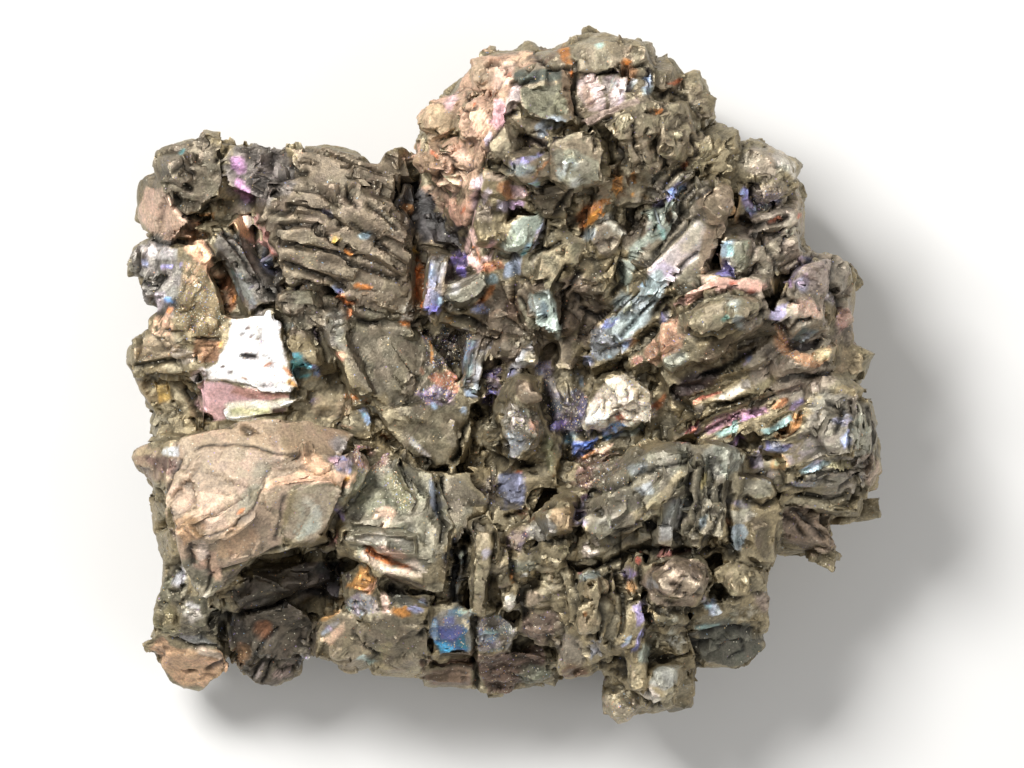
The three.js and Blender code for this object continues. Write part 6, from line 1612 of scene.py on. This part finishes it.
# The share of grains painted as glints, everywhere a little and more on the films.
glitter = np.full(count, BARE_PAINTED_GLINTS)
patchy = drift(place, wave=6, salt=61)[:, 0] + 0.5 * drift(place, wave=2.4, salt=62)[:, 0]
block_luck = numbers(block_cell, 221) * 2 - 1
grit_luck = numbers(grit_cell, 321) * 2 - 1
tint *= 1 + 0.18 * patchy[:, None] + 0.1 * block_luck[:, :1] + 0.06 * grit_luck[:, :1]
tint *= 1 + block_luck[:, 1:2] * (0.05, 0.01, -0.06)
edge = 0.3 * drift(place, wave=1.7, salt=63)[:, 0] + 0.22 * drift(place, wave=0.7, salt=64)[:, 0]
hold = np.clip(0.5 * crease + fine_hollow / 0.12 + cracked, 0, 1)
film_luck = 0.6 * block_luck[:, 1] + 0.6 * grit_luck[:, 1]
rust = np.zeros(count)
for corners, colour, fray, soft, its_metal, its_gloss, its_glitter, into in stains_and_painted_light:
    near_it = near_box(corners, MARGIN)
    at = place[near_it, :2].T
    beyond = gap_to(corners + corners[:1], *at) * np.where(inside(corners, *at), -1, 1)
    some = np.clip(0.5 - (beyond + edge[near_it] * fray) / soft, 0, 1) * facing_up[near_it]
    if into > 0:
        some *= np.clip(hold[near_it] * 2.4, 0, 1)
        rust[near_it] = np.maximum(rust[near_it], some)
    if into < 0:
        some *= np.clip(1 - hold[near_it] * 2, 0, 1)
    shimmer = PLAIN_SHIMMER
    shade = linear(colour) * (1 + 0.12 * patchy[near_it])[:, None]
    if (its_metal or 0) > FILM:
        some *= np.clip(0.85 + film_luck[near_it], 0.2, 1)
        shimmer = FILM_SHIMMER
    if (its_metal or 0) < FILM:
        shade = shade * WARMTH
    shade = shade * (1 + 0.08 * grit_luck[near_it, :1] + shimmer * grit_luck[near_it])
    grey = shade.mean(axis=1, keepdims=True)
    shade = grey + (shade - grey) * VIVIDNESS
    tint[near_it] += (shade - tint[near_it]) * some[:, None]
    its_metal = its_metal and min(its_metal, MOST_METAL)
    for values, wanted in ((metal, its_metal), (gloss, its_gloss), (glitter, its_glitter)):
        if wanted is not None:
            values[near_it] += (wanted - values[near_it]) * some
glitter *= PAINTED_GLINTS_SHOWN

# Painted shade and dirt darken the hollows, and painted highlights and wear brighten the crests.
dirt_and_painted_shade = np.clip(fine_hollow / 0.1, 0, 1) * 0.4 + np.clip(broad_hollow / 0.8, 0, 1) * 0.3
dirt_and_painted_shade = np.clip(dirt_and_painted_shade, 0, 0.7) * (1 - rust * 0.5)
wear_and_painted_highlight = np.clip(-fine_hollow / 0.1, 0, 1) * 0.22 + np.clip(-broad_hollow / 0.8, 0, 1) * 0.16
# Cracks are painted darker as shade, except where rust lies in them.
tint *= (1 - dirt_and_painted_shade + wear_and_painted_highlight)[:, None] * (1 - CRACK_PAINTED_SHADE * cracked * (1 - rust))[:, None]

# ---------------------------------------------------------------------------------------------
# The metal: dull grey with a fine grain, a share of its grains painted as bright glints, most
# where tarnish films are thin. Its pattern is measured in millimetres.
skin = bpy.data.materials.new("tarnished_chalcocite")
skin.use_nodes = True
skin_nodes, skin_links = skin.node_tree.nodes, skin.node_tree.links


def node(kind, **settings):
    """A new node of the metal, with its settings."""
    made = skin_nodes.new(f"ShaderNode{kind}")
    for name, value in settings.items():
        setattr(made, name, value)
    return made


def fill(made, *numbered, **named):
    """Gives the node's inputs, by number or by name, a value or what another node gives."""
    for key, value in (*enumerate(numbered), *named.items()):
        socket = made.inputs[key if isinstance(key, int) else key.replace("_", " ")]
        if isinstance(value, bpy.types.NodeSocket):
            skin_links.new(value, socket)
        else:
            socket.default_value = value
    return made


coords = node("TexCoord").outputs["Object"]
spot = fill(node("Mapping"), Vector=coords, Scale=(1000, 1000, 1000)).outputs["Vector"]
ground = node("Attribute", attribute_name="tint").outputs["Color"]
finish = node("Attribute", attribute_name="finish").outputs["Color"]
finish = fill(node("SeparateColor"), Color=finish).outputs

# Fine mottling over the tint.
speckle = fill(node("TexNoise"), Vector=spot, Scale=2.2, Detail=6, Roughness=0.65)
spread = fill(
    node("MapRange"), Value=speckle.outputs["Fac"], From_Min=0.3, From_Max=0.7, To_Min=0.62, To_Max=1.4
)
mottled = node("Mix", data_type="RGBA", blend_type="MULTIPLY")
fill(mottled, Factor=1, A=ground, B=spread.outputs["Result"])

# A share of the grains are painted glints: pale, gold, and thin-film copper, violet and blue.
grains = fill(node("TexVoronoi"), Vector=spot, Scale=6.2)
grain_luck = fill(node("SeparateColor"), Color=grains.outputs["Color"]).outputs
glint_and_film_colours = fill(node("ValToRGB"), Fac=grain_luck["Red"])
glint_and_film_colours.color_ramp.interpolation = "CONSTANT"
GLINT_AND_FILM_COLOURS = [
    (0.0, (206, 198, 176)),
    (0.5, (216, 188, 136)),
    (0.66, (196, 140, 108)),
    (0.76, (160, 134, 172)),
    (0.84, (130, 136, 186)),
    (0.92, (150, 176, 196)),
]
elements = glint_and_film_colours.color_ramp.elements
while len(elements) < len(GLINT_AND_FILM_COLOURS):
    elements.new(1)
for element, (position, colour) in zip(elements, GLINT_AND_FILM_COLOURS):
    element.position = position
    element.color = (*linear(colour), 1)
chosen = fill(node("Math", operation="LESS_THAN"), grain_luck["Green"], finish["Blue"])
glittering = fill(node("Mix", data_type="RGBA"), Factor=chosen.outputs["Value"])
fill(glittering, A=mottled.outputs["Result"], B=glint_and_film_colours.outputs["Color"])

# Each grain is a small flat that leans its own way.
flats = fill(node("TexVoronoi"), Vector=spot, Scale=2.4)
from_seed = fill(node("VectorMath", operation="SUBTRACT"), spot, flats.outputs["Position"])
tilt = fill(node("VectorMath", operation="SUBTRACT"), flats.outputs["Color"], (0.5, 0.5, 0.5))
facet = fill(
    node("VectorMath", operation="DOT_PRODUCT"), from_seed.outputs["Vector"], tilt.outputs["Vector"]
)
fine = fill(node("TexNoise"), Vector=spot, Scale=5, Detail=4).outputs["Fac"]
height = fill(node("Math", operation="MULTIPLY_ADD"), fine, 0.7, facet.outputs["Value"])
bump = fill(node("Bump"), Strength=0.5, Distance=0.0003, Height=height.outputs["Value"])
fill(
    skin_nodes["Principled BSDF"],
    Base_Color=glittering.outputs["Result"],
    Metallic=finish["Red"],
    Roughness=finish["Green"],
    Normal=bump.outputs["Normal"],
)

# ---------------------------------------------------------------------------------------------
# The finished pieces: the cluster parted by three upright planes into six, each light enough to
# handle. Lids fill only some of the cuts. Elsewhere a piece is open where it meets the next one.
SHARP = math.radians(26)
LEFT_CUT = -0.013
RIGHT_CUT = 0.018
LEVEL_CUT = -0.003
fused.vertices.foreach_set("co", (grown * 0.001).ravel())


def keep(name, columns):
    """Keeps three numbers a vertex in the skin, for its material to read."""
    layer = fused.attributes.new(name, "FLOAT_COLOR", "POINT")
    layer.data.foreach_set("color", np.column_stack([columns, np.ones(count)]).ravel())


keep("tint", np.clip(tint, 0, 1))
# finish holds the metal, the gloss and the share of grains painted as glints.
keep("finish", np.column_stack([metal, gloss, glitter]))
whole = bmesh.new()
whole.from_mesh(fused)
for one in whole.faces:
    one.smooth = True
    one.material_index = 0


def part_off(mesh, at, towards):
    """The side of the mesh that lies towards the given way, with a lid on each cut that fills."""
    piece = mesh.copy()
    cut = bmesh.ops.bisect_plane(
        piece,
        geom=piece.verts[:] + piece.edges[:] + piece.faces[:],
        plane_co=at,
        plane_no=towards,
        clear_inner=True,
    )
    rim = [one for one in cut["geom_cut"] if isinstance(one, bmesh.types.BMEdge)]
    for lid in bmesh.ops.holes_fill(piece, edges=rim)["faces"]:
        lid.smooth = False
    return piece


rest = whole
for column, cut_at in (("left", LEFT_CUT), ("middle", RIGHT_CUT), ("right", None)):
    strip = rest
    if cut_at is not None:
        strip = part_off(rest, (cut_at, 0, 0), (-1, 0, 0))
        after = part_off(rest, (cut_at, 0, 0), (1, 0, 0))
        rest.free()
        rest = after
    for row, towards in (("upper", 1), ("lower", -1)):
        quarter = part_off(strip, (0, LEVEL_CUT, 0), (0, towards, 0))
        mesh = bpy.data.meshes.new(f"ore_{row}_{column}")
        quarter.to_mesh(mesh)
        quarter.free()
        mesh.set_sharp_from_angle(angle=SHARP)
        mesh.materials.append(skin)
        piece = bpy.data.objects.new(mesh.name, mesh)
        bpy.context.collection.objects.link(piece)
        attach(piece, "root")
        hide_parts("chalcocite")
    strip.free()

# ---------------------------------------------------------------------------------------------
# The stage: a plain pale floor under soft studio light, seen from straight above.
floor = bmesh.new()
bmesh.ops.create_grid(floor, x_segments=1, y_segments=1, size=2)
floor_mesh = bpy.data.meshes.new("floor")
floor.to_mesh(floor_mesh)
floor.free()
paper = bpy.data.materials.new("paper")
paper.use_nodes = True
paper.node_tree.nodes["Principled BSDF"].inputs["Base Color"].default_value = (0.72, 0.71, 0.69, 1)
paper.node_tree.nodes["Principled BSDF"].inputs["Roughness"].default_value = 0.8
floor_mesh.materials.append(paper)
table = bpy.data.objects.new("floor", floor_mesh)
bpy.context.collection.objects.link(table)

world = bpy.data.worlds.new("room")
world.use_nodes = True
world.node_tree.nodes["Background"].inputs["Color"].default_value = (1, 1, 1, 1)
world.node_tree.nodes["Background"].inputs["Strength"].default_value = 0.35
bpy.context.scene.world = world


def lamp(name, at, size, power):
    """A square lamp that shines on the middle of the stage."""
    light = bpy.data.lights.new(name, "AREA")
    light.size = size
    light.energy = power
    holder = bpy.data.objects.new(name, light)
    holder.location = at
    holder.rotation_euler = (-Vector(at)).to_track_quat("-Z", "Y").to_euler()
    bpy.context.collection.objects.link(holder)


lamp("key", (-0.45, 0.45, 0.8), 0.35, 14)
lamp("fill", (0.6, -0.3, 0.7), 0.8, 3)

LENS = 500
SENSOR = 36
REFERENCE = 0.028
FRAME_WIDTH = 0.16384
eye = bpy.data.cameras.new("eye")
eye.lens = LENS
eye.sensor_width = SENSOR
camera = bpy.data.objects.new("eye", eye)
camera.location = (0.00056, -0.0008, REFERENCE + FRAME_WIDTH * LENS / SENSOR)
bpy.context.collection.objects.link(camera)
bpy.context.scene.camera = camera
bpy.context.scene.view_settings.view_transform = "Standard"
